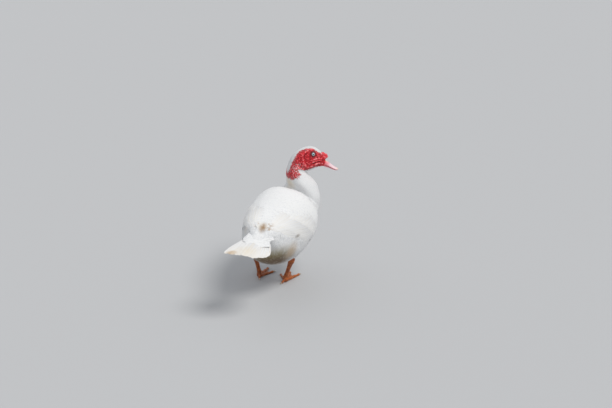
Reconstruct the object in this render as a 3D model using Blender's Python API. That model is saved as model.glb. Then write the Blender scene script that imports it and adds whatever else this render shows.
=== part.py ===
"""A white muscovy drake, life size, standing still with its head turned to its right.

Lengths are metres and angles are degrees. Shapes are worked out in the bird's own
frame, as (forward, left, up) from the ground point midway between its heels. The
bird looks along -Y, its left side is +X and up is +Z.
"""

import math

import bmesh
import bpy
from mathutils import Vector, noise

GAP = 0.0003
WELD = 0.000003

# Stance: where the middle of the bird's box is, and how the body sits on its legs.
BOX_MIDDLE_FORWARD = -0.0767
BOX_MIDDLE_LEFT = -0.0322
BODY_SHIFT_RIGHT = 0.010
BODY_LEAN_RIGHT = 9.0
HIP_HEIGHT = 0.120
HEAD_HEIGHT = 0.333
NECK_AXIS_FORWARD = 0.145

# Body sections from the tail root to the bill root. Each has its back point and its
# belly point as (forward, up), its half width, the share of its depth at which it is
# widest, its turn to the right in degrees, its shift to the right, and how far its own
# cross section follows the lean of the body.
SECTIONS = {
    "tail_root": ((-0.215, 0.221), (-0.205, 0.176), 0.034, 0.50, 0, 0.000, 1.0),
    "rump": ((-0.180, 0.233), (-0.165, 0.121), 0.055, 0.50, 0, 0.000, 1.0),
    "hips": ((-0.115, 0.246), (-0.095, 0.081), 0.074, 0.52, 0, 0.000, 1.0),
    "loin": ((-0.050, 0.255), (-0.030, 0.067), 0.087, 0.54, 0, 0.000, 1.0),
    "back": ((0.015, 0.259), (0.040, 0.074), 0.092, 0.55, 0, 0.000, 1.0),
    "shoulders": ((0.068, 0.257), (0.105, 0.088), 0.089, 0.54, 2, 0.000, 1.0),
    "breast": ((0.096, 0.249), (0.160, 0.119), 0.081, 0.52, 8, 0.002, 1.0),
    "crop": ((0.112, 0.243), (0.196, 0.162), 0.070, 0.50, 18, 0.010, 1.0),
    "neck_base": ((0.117, 0.250), (0.208, 0.212), 0.059, 0.48, 30, 0.013, 0.9),
    "neck": ((0.1150, 0.270), (0.203, 0.254), 0.047, 0.46, 43, 0.006, 0.7),
    "red_collar": ((0.1140, 0.294), (0.184, 0.281), 0.035, 0.48, 54, -0.003, 0.4),
    "throat": ((0.1185, 0.316), (0.1735, 0.293), 0.0270, 0.50, 62, -0.007, 0.1),
    "jaw": ((0.129, 0.342), (0.182, 0.296), 0.0245, 0.52, 66, -0.006, 0.0),
    "cheek": ((0.151, 0.3615), (0.192, 0.3005), 0.0260, 0.52, 67, -0.006, 0.0),
    "eye": ((0.182, 0.3700), (0.202, 0.3045), 0.0245, 0.48, 67, -0.006, 0.0),
    "forehead": ((0.206, 0.3615), (0.210, 0.3075), 0.0200, 0.48, 67, -0.006, 0.0),
    "lores": ((0.2205, 0.345), (0.217, 0.3085), 0.0160, 0.52, 67, -0.006, 0.0),
    "bill_root": ((0.2290, 0.3265), (0.221, 0.3085), 0.0125, 0.55, 67, -0.006, 0.0),
}
ORDER = list(SECTIONS)
SQUARENESS = 0.92
RING_SIDES = 24
HEAD_SIDES = 22
RINGS_A_SECTION = 2

# Eyes
EYE_AT = (14.05, 66.0)
EYE_RADIUS = 0.0070
EYE_SINK = 0.0042
LID_RADIUS = 0.0054
LID_THICKNESS = 0.0013
LID_STEPS = (12, 5)

# Bill, along the head's own forward axis, from NECK_AXIS_FORWARD
BILL_STEPS = 8
BILL_ARC = 10
BILL_TOP = ((0.0850, 0.3255), (0.0945, 0.3195), (0.1045, 0.3115), (0.1142, 0.3040), (0.1232, 0.2985))
BILL_MOUTH = ((0.0785, 0.3135), (0.0890, 0.3090), (0.1002, 0.3032), (0.1110, 0.2982), (0.1218, 0.2945))
BILL_CHIN = ((0.0775, 0.3080), (0.0877, 0.3033), (0.0985, 0.2987), (0.1082, 0.2950), (0.1168, 0.2930))
BILL_HALF_WIDTHS = (0.0122, 0.0116, 0.0112, 0.0116, 0.0100)
NOSTRIL_AT = 0.26
NOSTRIL_OUT = 0.62
NOSTRIL_UP = 0.76
NOSTRIL_SIZE = (0.0030, 0.0022, 0.0013)
NAIL_SIZE = (0.0052, 0.0046, 0.0030)
NAIL_AT = (0.1205, 0.2973)

# Caruncles, as beaded folds on each side of the head: how many beads, the (section,
# degrees) places that the fold starts, bends and ends at, and its radius at both ends.
CARUNCLE_FOLDS = {
    "brow": (4, (12.7, 58), (14.1, 30), (15.9, 36), 0.0030, 0.0042),
    "under_eye": (2, (13.4, 98), (14.6, 97), (15.7, 80), 0.0030, 0.0028),
    "gape": (4, (12.6, 122), (14.4, 124), (16.1, 106), 0.0034, 0.0036),
    "cheek": (3, (12.9, 66), (12.3, 92), (12.4, 126), 0.0030, 0.0040),
    "collar": (2, (11.7, 66), (11.25, 86), (11.5, 112), 0.0028, 0.0032),
}
FOLD_SIDES = 5
RINGS_A_BEAD = 3
BEAD_SWELL = 0.34
FOLD_SINK = 0.30
FOLD_END_SHARE = 0.35
KNOB_LOBE = (0.0084, 0.0062, 0.0072)
KNOB_AT = (0.0832, 0.0042, 0.3375)
FOREHEAD_RIDGE = (0.0082, 0.0070, 0.0052)
FOREHEAD_RIDGE_AT = (0.0745, 0.0, 0.3460)

# Wings, in shares: s runs from the shoulder to the tail root, q from back to belly
WING_SECTIONS = (6.35, 0.35)
WING_UPPER_EDGE = (12.0, 9.0, 10.0)
WING_LOWER_EDGE = (104.0, 98.0, 60.0)
WING_CORE_END = 0.66
WING_THICKNESS = 0.0100
WING_STEPS = (8, 6)

# Feather tiers of one wing, each running from its first vane to its last: how many, root
# (s, q) of the first and last, tip (s, q) of the first and last, then half width, height
# over the body at root and tip of the first and of the last, and how many degrees the
# lower edge is tilted out.
WING_TIERS = {
    "primaries": (
        4, (0.50, 0.92), (0.57, 0.60), (0.86, 0.84), (1.00, 0.32),
        0.0088, (0.0035, 0.0030), (0.0070, 0.0080), 2.0,
    ),
    "secondaries": (
        5, (0.28, 0.92), (0.50, 0.56), (0.63, 0.97), (0.86, 0.59),
        0.0125, (0.0045, 0.0105), (0.0045, 0.0110), 7.0,
    ),
    "tertials": (
        4, (0.42, 0.48), (0.30, 0.02), (0.84, 0.50), (0.93, 0.06),
        0.0145, (0.0050, 0.0110), (0.0050, 0.0085), 6.0,
    ),
    "greater_coverts": (
        5, (0.14, 0.89), (0.38, 0.32), (0.39, 0.96), (0.66, 0.40),
        0.0155, (0.0060, 0.0115), (0.0065, 0.0130), 5.0,
    ),
    "median_coverts": (
        4, (0.04, 0.79), (0.20, 0.28), (0.24, 0.89), (0.47, 0.34),
        0.0175, (0.0070, 0.0120), (0.0075, 0.0140), 5.0,
    ),
    "scapulars": (
        4, (0.03, 0.42), (0.16, 0.03), (0.33, 0.40), (0.60, 0.03),
        0.0150, (0.0080, 0.0145), (0.0060, 0.0120), 6.0,
    ),
}
VANE_THICKNESS = 0.0007

# How far along the shaft each row of a vane is, and its share of the half width there.
VANE_ROWS = ((0.0, 0.45), (0.30, 0.90), (0.65, 1.0), (0.88, 0.78), (1.0, 0.30))

# Tail fan: it spreads from a pivot inside the rump
TAIL_PIVOT = (-0.105, 0.210)
TAIL_DROP = 0.05
TAIL_ARCH = 1.4
TAIL_SWING_LEFT = -1.0
TAIL_CORE = ((0.118, 0.80), (0.132, 0.52), (0.150, 0.26), (0.165, 0.10))
RECTRIX_PAIRS = 7
RECTRIX_SPREAD = 13.5
RECTRIX_ROOT = 0.128
RECTRIX_REACH_LEFT = (0.258, 0.252)
RECTRIX_REACH_RIGHT = (0.258, 0.222)
RECTRIX_HALF_WIDTH = 0.0135
RECTRIX_STEP_DOWN = 0.0012

# Tail coverts: how many, reach of root and tip, spread, half width, height over the fan
# at root and tip, and how many degrees the left edge is tilted up.
TAIL_COVERTS = {
    "upper_long": (5, 0.104, 0.200, 11.5, 0.0135, (0.0085, 0.0040), 5.0),
    "upper_short": (4, 0.076, 0.160, 13.0, 0.0150, (0.0150, 0.0085), 5.0),
    "under_long": (3, 0.110, 0.190, 9.5, 0.0170, (-0.0150, -0.0118), -5.0),
    "under_short": (3, 0.080, 0.150, 9.5, 0.0160, (-0.0290, -0.0180), -5.0),
}

# Legs: heel is the foot's ankle on the ground, hock the joint under the feathers
HEELS = {"left": (0.010, 0.044), "right": (-0.010, -0.041)}
HOCKS = {"left": (-0.018, 0.049, 0.080), "right": (-0.036, -0.066, 0.078)}
ANKLE_HEIGHT = 0.016
TARSUS_PLACES = (0.18, 0.45, 0.80, 1.0)
TARSUS_RADII = (0.0090, 0.0092, 0.0076, 0.0058, 0.0056, 0.0068)
TARSUS_SIDES = 10
TOE_SIDES = 6
THIGH_SIDES = 14
THIGH_STEPS = 7
THIGH_ROOT_RADIUS = 0.037
THIGH_TAPER = 1.25
THIGH_END_RADIUS = 0.0125
THIGH_TOP = (0.012, 0.048, 0.122)
THIGH_STOP = 0.010

# Feet: each front toe's length, its angle to the outside and its half width
TOES = {"inner": (0.056, -26.0, 0.0048), "middle": (0.073, 0.0, 0.0054), "outer": (0.068, 25.0, 0.0051)}
FOOT_TURN_IN = 4.0
HALLUX_LENGTH = 0.019
HALLUX_START = 0.004
HALLUX_SPLAY = 0.35
HALLUX_HEIGHTS = (0.0085, 0.0040)
HALLUX_PLACES = (0.0, 0.4, 0.75, 1.0)
HALLUX_RADII = (0.0042, 0.0038, 0.0036, 0.0026)
WEB_THICKNESS = 0.0022
SOLE_MARGIN = 0.0006
WEB_NOTCH = 0.80
WEB_HEEL_RADIUS = 0.009
WEB_HEEL_TURNS = (-60, -20, 20, 60)
WEB_TIP_HALF_WIDTH = 0.0035
WEB_TIP_BACK = 0.003
WEB_TIP_AHEAD = 0.001
TOE_END_SHARE = 0.60
TOE_STEPS = 6
TOE_KNUCKLE = 0.10
TOE_REACH = (0.04, 0.985)
PAD_RADII = (0.0088, 0.0078, 0.0094)
CLAW_LENGTH = 0.0115
CLAW_RADIUS = 0.0026
CLAW_TIP_RADIUS = 0.0004
CLAW_HEIGHT = 0.0036
CLAW_DROP = 0.0026
CLAW_PLACES = (0.0, 0.3, 0.6, 0.85, 1.0)
HALLUX_CLAW_SIZE = 0.75

MATERIALS = {
    "white_feather": ((0.86, 0.85, 0.82), 0.65, 0.0),
    "red_skin": ((0.62, 0.03, 0.04), 0.45, 0.0),
    "bill_horn": ((0.85, 0.50, 0.48), 0.35, 0.0),
    "bill_nail": ((0.80, 0.66, 0.50), 0.30, 0.0),
    "eye": ((0.05, 0.09, 0.10), 0.08, 0.0),
    "leg_skin": ((0.72, 0.34, 0.07), 0.45, 0.0),
    "claw": ((0.55, 0.45, 0.33), 0.35, 0.0),
}


def place(forward, left, up):
    """World coordinates of a point in the bird's frame."""
    return Vector((left - BOX_MIDDLE_LEFT, BOX_MIDDLE_FORWARD - forward, up))


def mix(a, b, share):
    """Between two numbers or two tuples."""
    if isinstance(a, tuple):
        return tuple(mix(x, y, share) for x, y in zip(a, b))
    return a + (b - a) * share


def lean(forward, left, up, follows=1.0):
    """A point of the upright body, in the bird's frame, once the body leans on its legs.

    Where follows is 0 a cross section stays level, and only moves over with the body."""
    angle = math.radians(BODY_LEAN_RIGHT)
    over = (mix(HEAD_HEIGHT, up, follows) - HIP_HEIGHT) * math.sin(angle) + BODY_SHIFT_RIGHT
    return Vector((forward, left - over, up + left * math.sin(angle) * follows))


def turned(forward, left, up, degrees, shift):
    """A point turned to the right about the upright neck axis, then shifted to the right."""
    angle = math.radians(degrees)
    ahead = forward - NECK_AXIS_FORWARD
    return (
        NECK_AXIS_FORWARD + ahead * math.cos(angle) + left * math.sin(angle),
        left * math.cos(angle) - ahead * math.sin(angle) - shift,
        up,
    )


def flat_row(row):
    """The numbers of a section's row, unpacked from its pairs."""
    (back_forward, back_up), (belly_forward, belly_up), *others = row
    return (back_forward, back_up, belly_forward, belly_up, *others)


def curve_through(rows, at):
    """The row at a fractional place along rows, on a Catmull-Rom curve through them."""
    last = len(rows) - 1
    start = min(max(int(math.floor(at)), 0), last - 1)
    share = at - start
    before, first, second, after = (
        rows[min(max(start + step, 0), last)] for step in (-1, 0, 1, 2)
    )
    blended = []
    for p0, p1, p2, p3 in zip(before, first, second, after):
        slope = (p2 - p0) / 2
        next_slope = (p3 - p1) / 2
        cube = 2 * (p1 - p2) + slope + next_slope
        square = 3 * (p2 - p1) - 2 * slope - next_slope
        blended.append(((cube * share + square) * share + slope) * share + p1)
    return blended


SECTION_ROWS = [flat_row(row) for row in SECTIONS.values()]


def body_point(at, degrees):
    """The body's surface: at counts sections from the tail root, and degrees goes from
    0 on the back through 90 on the left flank to 180 on the belly."""
    row = curve_through(SECTION_ROWS, at)
    back_forward, back_up, belly_forward, belly_up, half_width, widest, turn, shift, follows = row
    angle = math.radians(degrees)
    bend = math.log(widest) / math.log(0.5)
    depth = ((1 - math.cos(angle)) / 2) ** bend
    forward = back_forward + (belly_forward - back_forward) * depth
    up = back_up + (belly_up - back_up) * depth
    side = math.copysign(abs(math.sin(angle)) ** SQUARENESS, math.sin(angle))
    return lean(*turned(forward, half_width * side, up, turn, shift), follows)


def body_frame(at, degrees):
    """The surface point, its two slopes a unit of at and of degrees, and its outward normal."""
    step, swing = 0.02, 1.0
    point = body_point(at, degrees)
    along = (body_point(at + step, degrees) - body_point(at - step, degrees)) / (2 * step)
    around = (body_point(at, degrees + swing) - body_point(at, degrees - swing)) / (2 * swing)
    return point, along, around, along.cross(around).normalized()


def head_point(ahead, left, up):
    """A point of the head, given ahead of the neck axis along the way that the bill points."""
    *_, turn, shift, follows = SECTIONS["eye"]
    return lean(*turned(NECK_AXIS_FORWARD + ahead, left, up, turn, shift), follows)


def head_axes():
    """Unit vectors of the head in the bird's frame: ahead, left and up."""
    origin = head_point(0, 0, 0)
    ahead = (head_point(1, 0, 0) - origin).normalized()
    left = (head_point(0, 1, 0) - origin).normalized()
    return ahead, left, ahead.cross(left)


def mesh_object(name, points, faces, in_world=False):
    """A mesh object from points in the bird's frame, all its faces triangles facing out."""
    mesh = bpy.data.meshes.new(name)
    mesh.from_pydata([p if in_world else place(*p) for p in points], [], faces)
    made = bmesh.new()
    made.from_mesh(mesh)
    bmesh.ops.triangulate(made, faces=[f for f in made.faces if len(f.verts) > 4])
    bmesh.ops.recalc_face_normals(made, faces=made.faces)
    made.to_mesh(mesh)
    made.free()
    mesh.shade_smooth()
    mesh.set_sharp_from_angle(angle=math.radians(50))
    thing = bpy.data.objects.new(name, mesh)
    bpy.context.scene.collection.objects.link(thing)
    return thing


def loft(name, rings):
    """A closed body through rings of equally many points, with flat ends."""
    sides = len(rings[0])
    points = [p for ring in rings for p in ring]
    faces = []
    for r in range(len(rings) - 1):
        for i in range(sides):
            j = (i + 1) % sides
            a, b = r * sides + i, r * sides + j
            faces += [(a, b, b + sides), (a, b + sides, a + sides)]
    faces.append(tuple(range(sides)))
    faces.append(tuple(reversed(range(len(points) - sides, len(points)))))
    return mesh_object(name, points, faces)


def body_ring(at, sides):
    return [body_point(at, 360 * i / sides) for i in range(sides)]


def pushed(ring, distance):
    """The ring moved along its own plane's normal, towards the bill."""
    middle = sum(ring, Vector()) / len(ring)
    quarter = len(ring) // 4
    normal = (ring[quarter] - middle).cross(ring[0] - middle).normalized()
    return [p + normal * distance for p in ring]


def body_rings(first, last, sides):
    """Rings from one named section to another."""
    begin, end = ORDER.index(first), ORDER.index(last)
    count = (end - begin) * RINGS_A_SECTION
    return [body_ring(begin + i / RINGS_A_SECTION, sides) for i in range(count + 1)]


def apply_modifiers(thing):
    """Replaces the object's mesh by what its modifiers make of it."""
    graph = bpy.context.evaluated_depsgraph_get()
    mesh = bpy.data.meshes.new_from_object(thing.evaluated_get(graph))
    thing.modifiers.clear()
    thing.data = mesh


def joined(base, pieces, solver="EXACT"):
    """Fuses closed pieces into base with one Boolean union on their collection."""
    collection = bpy.data.collections.new(base.name + "_pieces")
    bpy.context.scene.collection.children.link(collection)
    for piece in pieces:
        collection.objects.link(piece)
        bpy.context.scene.collection.objects.unlink(piece)
    union = base.modifiers.new("join", "BOOLEAN")
    union.operation = "UNION"
    union.operand_type = "COLLECTION"
    union.collection = collection
    union.solver = solver
    apply_modifiers(base)
    for piece in list(collection.objects):
        bpy.data.objects.remove(piece)
    bpy.data.collections.remove(collection)
    return base


def cut(base, cutter, keep_cutter=False, solver="EXACT"):
    """Takes the cutter's shape out of base."""
    difference = base.modifiers.new("cut", "BOOLEAN")
    difference.operation = "DIFFERENCE"
    difference.object = cutter
    difference.solver = solver
    apply_modifiers(base)
    if not keep_cutter:
        bpy.data.objects.remove(cutter)
    return base


def keep_largest(thing):
    """Drops all but the largest closed surface, so that the node is one body."""
    made = bmesh.new()
    made.from_mesh(thing.data)
    bmesh.ops.remove_doubles(made, verts=made.verts, dist=WELD)
    bmesh.ops.triangulate(made, faces=made.faces)
    islands, seen = [], set()
    for seed in made.faces:
        if seed in seen:
            continue
        island, stack = [], [seed]
        seen.add(seed)
        while stack:
            face = stack.pop()
            island.append(face)
            for edge in face.edges:
                for other in edge.link_faces:
                    if other not in seen:
                        seen.add(other)
                        stack.append(other)
        islands.append(island)

    def volume(island):
        return sum(
            f.verts[0].co.dot(f.verts[1].co.cross(f.verts[2].co)) / 6 for f in island
        )

    largest = max(islands, key=volume)
    loose = [f for island in islands if island is not largest for f in island]
    bmesh.ops.delete(made, geom=loose, context="FACES")
    made.to_mesh(thing.data)
    made.free()
    thing.data.shade_smooth()
    thing.data.set_sharp_from_angle(angle=math.radians(50))
    return thing


def grown(thing, distance, name):
    """A copy of a closed object with its surface moved outwards, for cutting a neighbour."""
    copy = thing.copy()
    copy.data = thing.data.copy()
    copy.name = name
    bpy.context.scene.collection.objects.link(copy)
    made = bmesh.new()
    made.from_mesh(copy.data)
    made.normal_update()
    moves = []
    for v in made.verts:
        # Dividing by the smallest cosine keeps every face at least the distance away.
        slack = max(0.35, min(v.normal.dot(f.normal) for f in v.link_faces))
        moves.append(v.co + v.normal * distance / slack)
    for v, co in zip(made.verts, moves):
        v.co = co
    made.to_mesh(copy.data)
    made.free()
    return copy


def vane(name, frame, path, half_width, heights, tilt, columns=2):
    """One feather vane lying over a surface, as a thin closed blade.

    frame(u, v) gives the surface point, its slopes and its normal; path lists the (u, v)
    places of the shaft at each of VANE_ROWS. The two faces are split into triangles alike.
    """
    half_thick = VANE_THICKNESS / 2
    top, under = [], []
    for i, ((u, v), (_, share)) in enumerate(zip(path, VANE_ROWS)):
        before = frame(*path[max(i - 1, 0)])[0]
        after = frame(*path[min(i + 1, len(path) - 1)])[0]
        _, along, around, normal = frame(u, v)
        side = normal.cross((after - before).normalized()).normalized()
        # The step in (u, v) that moves the surface point by one metre along side.
        aa, ab, bb = along.dot(along), along.dot(around), around.dot(around)
        sa, sb = side.dot(along), side.dot(around)
        spread = aa * bb - ab * ab
        du, dv = (sa * bb - sb * ab) / spread, (sb * aa - sa * ab) / spread
        for column in range(columns):
            reach = (2 * column / (columns - 1) - 1) * half_width * share
            foot, _, _, up = frame(u + du * reach, v + dv * reach)
            lift = heights[i] + reach * math.tan(math.radians(tilt))
            top.append(foot + up * (lift + half_thick))
            under.append(foot + up * (lift - half_thick))
    return blade(name, top, under, columns)


def blade(name, top, under, columns):
    """A closed sheet from the grid of its top points and the grid of its under points."""
    rows = len(top) // columns
    below = len(top)
    faces = []
    for r in range(rows - 1):
        for c in range(columns - 1):
            a = r * columns + c
            for face in ((a, a + 1, a + columns + 1), (a, a + columns + 1, a + columns)):
                faces += [face, tuple(below + k for k in reversed(face))]
    rim = list(range(columns))
    rim += [r * columns + columns - 1 for r in range(1, rows)]
    rim += [(rows - 1) * columns + c for c in reversed(range(columns - 1))]
    rim += [r * columns for r in reversed(range(1, rows - 1))]
    for k, a in enumerate(rim):
        b = rim[(k + 1) % len(rim)]
        faces += [(a, below + a, below + b), (a, below + b, b)]
    return mesh_object(name, top + under, faces)


def three_point(values, share):
    """A smooth bend through the values at 0, 0.5 and 1."""
    first, middle, last = values
    return (
        first * (1 - share) * (1 - 2 * share)
        + middle * 4 * share * (1 - share)
        + last * share * (2 * share - 1)
    )


def torso():
    return loft("torso", body_rings("rump", "crop", RING_SIDES))


def neck():
    rings = body_rings("crop", "throat", RING_SIDES)
    rings[0] = pushed(rings[0], GAP)
    return loft("neck", rings)


def ellipsoid(name, centre, axes, radii, subdivisions=2, swell=0.0):
    """A closed ball stretched along three unit axes, in the bird's frame."""
    made = bmesh.new()
    bmesh.ops.create_icosphere(made, subdivisions=subdivisions, radius=1.0)
    points = []
    for v in made.verts:
        bulge = 1 + swell * noise.noise(v.co * 2.0 + centre * 300)
        points.append(
            centre + sum((axis * (r * c * bulge) for axis, r, c in zip(axes, radii, v.co)), Vector())
        )
    faces = [tuple(v.index for v in f.verts) for f in made.faces]
    made.free()
    return mesh_object(name, points, faces)


def upright_axes(normal):
    """Three unit axes, the last of them the normal."""
    side = normal.cross(Vector((0, 0, 1))).normalized()
    return side, normal.cross(side), normal


def mirrored(side):
    return 1 if side == "left" else -1


def eye_place(side):
    """The centre of the eyeball and the way that it looks."""
    at, degrees = EYE_AT
    point, _, _, normal = body_frame(at, degrees * mirrored(side))
    return point - normal * EYE_SINK, normal


def ring_of(name, centre, normal, radius, thickness, around, section):
    """A closed round ring about the normal."""
    side, up, normal = upright_axes(normal)
    points, faces = [], []
    for i in range(around):
        turn = 2 * math.pi * i / around
        out = side * math.cos(turn) + up * math.sin(turn)
        for j in range(section):
            roll = 2 * math.pi * j / section
            offset = out * (radius + thickness * math.cos(roll)) + normal * thickness * math.sin(roll)
            points.append(centre + offset)
            a, b = i * section + j, i * section + (j + 1) % section
            c, d = ((i + 1) % around) * section + j, ((i + 1) % around) * section + (j + 1) % section
            faces += [(a, b, d), (a, d, c)]
    return mesh_object(name, points, faces)


def fold(name, beads, start, bend, end, first_radius, last_radius, side):
    """One caruncle fold, a beaded ridge partly sunk in the skin and closed at both ends."""
    steps = beads * RINGS_A_BEAD
    rings = []
    for i in range(steps + 1):
        share = i / steps
        at = three_point((start[0], bend[0], end[0]), share)
        degrees = side * three_point((start[1], bend[1], end[1]), share)
        after = body_point(
            three_point((start[0], bend[0], end[0]), share + 0.02),
            side * three_point((start[1], bend[1], end[1]), share + 0.02),
        )
        point, _, _, normal = body_frame(at, degrees)
        across = normal.cross(after - point).normalized()
        swell = 1 - BEAD_SWELL * math.cos(2 * math.pi * beads * share)
        close = FOLD_END_SHARE if i in (0, steps) else 1.0
        radius = mix(first_radius, last_radius, share) * swell * close
        centre = point - normal * radius * FOLD_SINK
        turns = [2 * math.pi * (j + 0.5) / FOLD_SIDES for j in range(FOLD_SIDES)]
        rings.append([centre + (across * math.cos(t) + normal * math.sin(t)) * radius for t in turns])
    return loft(name, rings)


def caruncles():
    """The folds over and under the eyes, along the gape, over the cheeks and on the collar."""
    folds = []
    for row, shape in CARUNCLE_FOLDS.items():
        folds += [fold(f"{row}_{side}", *shape, side) for side in (-1, 1)]
    return folds


def knob():
    """The two-lobed red knob over the bill root, and the ridge of the forehead behind it."""
    axes = head_axes()
    ridge = head_point(*FOREHEAD_RIDGE_AT)
    lobes = [ellipsoid("forehead_ridge", ridge, axes, FOREHEAD_RIDGE, 2, 0.15)]
    for side in (-1, 1):
        ahead, left, up = KNOB_AT
        centre = head_point(ahead, side * left, up)
        lobes.append(ellipsoid(f"knob_{side}", centre, axes, KNOB_LOBE, 2, 0.2))
    return lobes


def head():
    rings = body_rings("throat", "bill_root", HEAD_SIDES)
    rings[0] = pushed(rings[0], GAP)
    base = loft("head", rings)
    pieces = caruncles() + knob()
    for side in ("left", "right"):
        centre, normal = eye_place(side)
        rim = centre + normal * math.sqrt(EYE_RADIUS**2 - LID_RADIUS**2)
        pieces.append(ring_of(f"lid_{side}", rim, normal, LID_RADIUS, LID_THICKNESS, *LID_STEPS))
    joined(base, pieces)
    for side in ("left", "right"):
        centre, normal = eye_place(side)
        size = (EYE_RADIUS + GAP,) * 3
        cut(base, ellipsoid(f"socket_{side}", centre, upright_axes(normal), size, 3))
    return keep_largest(base)


def eye(side):
    centre, normal = eye_place(side)
    return ellipsoid(f"eye_{side}", centre, upright_axes(normal), (EYE_RADIUS,) * 3, 3)


def bill_section(share):
    """Top, mouth line and chin as (ahead, up), and the half width, along the bill."""
    at = share * (len(BILL_TOP) - 1)
    rows = [(*t, *m, *c, w) for t, m, c, w in zip(BILL_TOP, BILL_MOUTH, BILL_CHIN, BILL_HALF_WIDTHS)]
    row = tuple(curve_through(rows, at))
    return row[0:2], row[2:4], row[4:6], row[6]


def mandible(name, upper):
    """Half of the bill: a flat face on the mouth line and an arched one away from it."""
    rings = []
    for i in range(BILL_STEPS + 1):
        share = i / BILL_STEPS
        top, mouth, chin, half_width = bill_section(share)
        far = top if upper else chin
        half_width *= (1.0 if upper else 0.93) * math.sqrt(max(0.12, 1 - max(0, (share - 0.72) / 0.28) ** 2))
        clear = GAP / 2 if upper else -GAP / 2
        ring = []
        for j in range(BILL_ARC + 1):
            turn = math.pi * j / BILL_ARC
            rise = math.sin(turn) ** 0.8
            ahead = mouth[0] + (far[0] - mouth[0]) * rise
            high = mouth[1] + clear + (far[1] - mouth[1] - clear) * rise
            ring.append(head_point(ahead, half_width * math.cos(turn), high))
        middle = head_point(mouth[0], 0, mouth[1] + clear + (0.0004 if upper else -0.0004))
        ring.append(middle)
        rings.append(ring)
    return loft(name, rings)


def bill():
    """Both mandibles, cut clear of the head and of the nail at the tip."""
    ahead, left, up = head_axes()
    slope = (ahead * 0.90 - up * 0.44).normalized()
    stand = slope.cross(left).normalized()
    at = head_point(NAIL_AT[0], 0, NAIL_AT[1])
    nail = ellipsoid("bill_nail", at, (slope, left, stand), NAIL_SIZE, 2)
    upper = mandible("bill_upper", True)
    lower = mandible("bill_lower", False)
    for side in (-1, 1):
        top, mouth, _, half_width = bill_section(NOSTRIL_AT)
        high = mix(mouth, top, NOSTRIL_UP)
        hole = head_point(high[0], side * half_width * NOSTRIL_OUT, high[1])
        out = (left * side * 0.75 + up * 0.65).normalized()
        pit = ellipsoid(f"nostril_{side}", hole, (slope, out, slope.cross(out)), NOSTRIL_SIZE, 2)
        cut(upper, pit)
    for half in (upper, lower):
        size = tuple(s + GAP for s in NAIL_SIZE)
        cut(half, ellipsoid("nail_cutter", at, (slope, left, stand), size, 2))
        keep_largest(half)
    return nail, upper, lower


def wing_place(s, q, sign):
    """The (at, degrees) place on the body of a wing's own coordinates."""
    at = mix(*WING_SECTIONS, s)
    upper = three_point(WING_UPPER_EDGE, s)
    lower = three_point(WING_LOWER_EDGE, s)
    return at, sign * mix(upper, lower, q)


def core_height(s, q):
    """How far the wing's flesh and its small coverts stand over the body."""
    along = 1 - max(0.0, (s / WING_CORE_END - 0.45) / 0.55) ** 2 * 0.72
    front = min(1.0, 0.35 + s * 5.5)
    rim = 1 - (2 * q - 1) ** 6 * 0.75
    return WING_THICKNESS * along * front * rim


def wing_core(side):
    """The folded arm: a low shell over the body that reaches a little into it."""
    sign = mirrored(side)
    rows, columns = WING_STEPS
    outer, inner = [], []
    for i in range(rows + 1):
        s = WING_CORE_END * i / rows
        narrow = 1 - 0.30 * max(0.0, s / WING_CORE_END - 0.7) / 0.3
        for j in range(columns + 1):
            q = 0.5 + (j / columns - 0.5) * narrow
            point, _, _, normal = body_frame(*wing_place(s, q, sign))
            outer.append(point + normal * core_height(s, j / columns))
            inner.append(point - normal * 0.004)
    return blade(f"wing_{side}", outer, inner, columns + 1)


def wing_vanes(side):
    """All the feather tiers of one folded wing."""
    sign = mirrored(side)

    def frame(s, q):
        at, degrees = wing_place(s, q, sign)
        point, along, around, normal = body_frame(at, degrees)
        span = WING_SECTIONS[1] - WING_SECTIONS[0]
        width = three_point(WING_LOWER_EDGE, s) - three_point(WING_UPPER_EDGE, s)
        return point, along * span, around * sign * width, normal

    vanes = []
    for tier, row in WING_TIERS.items():
        count, *ends, half, first_heights, last_heights, tilt = row
        first_root, last_root, first_tip, last_tip = ends
        for i in range(count):
            share = i / (count - 1)
            root, tip = mix(first_root, last_root, share), mix(first_tip, last_tip, share)
            low, high = mix(first_heights, last_heights, share)
            path = [mix(root, tip, along) for along, _ in VANE_ROWS]
            heights = [mix(low, high, along**0.7) for along, _ in VANE_ROWS]
            vanes.append(vane(f"{tier}_{side}_{i}", frame, path, half, heights, -tilt * sign))
    return vanes


def wing(side, neighbours):
    """One folded wing, cut clear of the body nodes that it lies on."""
    base = joined(wing_core(side), wing_vanes(side), "MANIFOLD")
    for neighbour in neighbours:
        cut(base, grown(neighbour, GAP, "neighbour_cutter"), solver="MANIFOLD")
    return keep_largest(base)


def tail_frame(reach, degrees):
    """The tail's fan: reach from the pivot and the angle to the left of straight back."""

    def point_at(r, d):
        angle = math.radians(d + TAIL_SWING_LEFT)
        left = r * math.sin(angle)
        up = TAIL_PIVOT[1] - TAIL_DROP * r - TAIL_ARCH * left * left
        return lean(TAIL_PIVOT[0] - r * math.cos(angle), left, up)

    point = point_at(reach, degrees)
    along = (point_at(reach + 0.001, degrees) - point_at(reach - 0.001, degrees)) / 0.002
    around = (point_at(reach, degrees + 0.5) - point_at(reach, degrees - 0.5)) / 1.0
    normal = around.cross(along).normalized()
    if normal.z < 0:
        normal = -normal
    return point, along, around, normal


def fan_vane(name, degrees, root, tip, half_width, heights, columns=2, tilt=0.0):
    """A vane of the tail, from one reach to another along a ray of the fan."""
    path = [(mix(root, tip, along), degrees * mix(0.85, 1.0, along)) for along, _ in VANE_ROWS]
    rises = [mix(*heights, along) for along, _ in VANE_ROWS]
    return vane(name, tail_frame, path, half_width, rises, tilt, columns)


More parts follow.
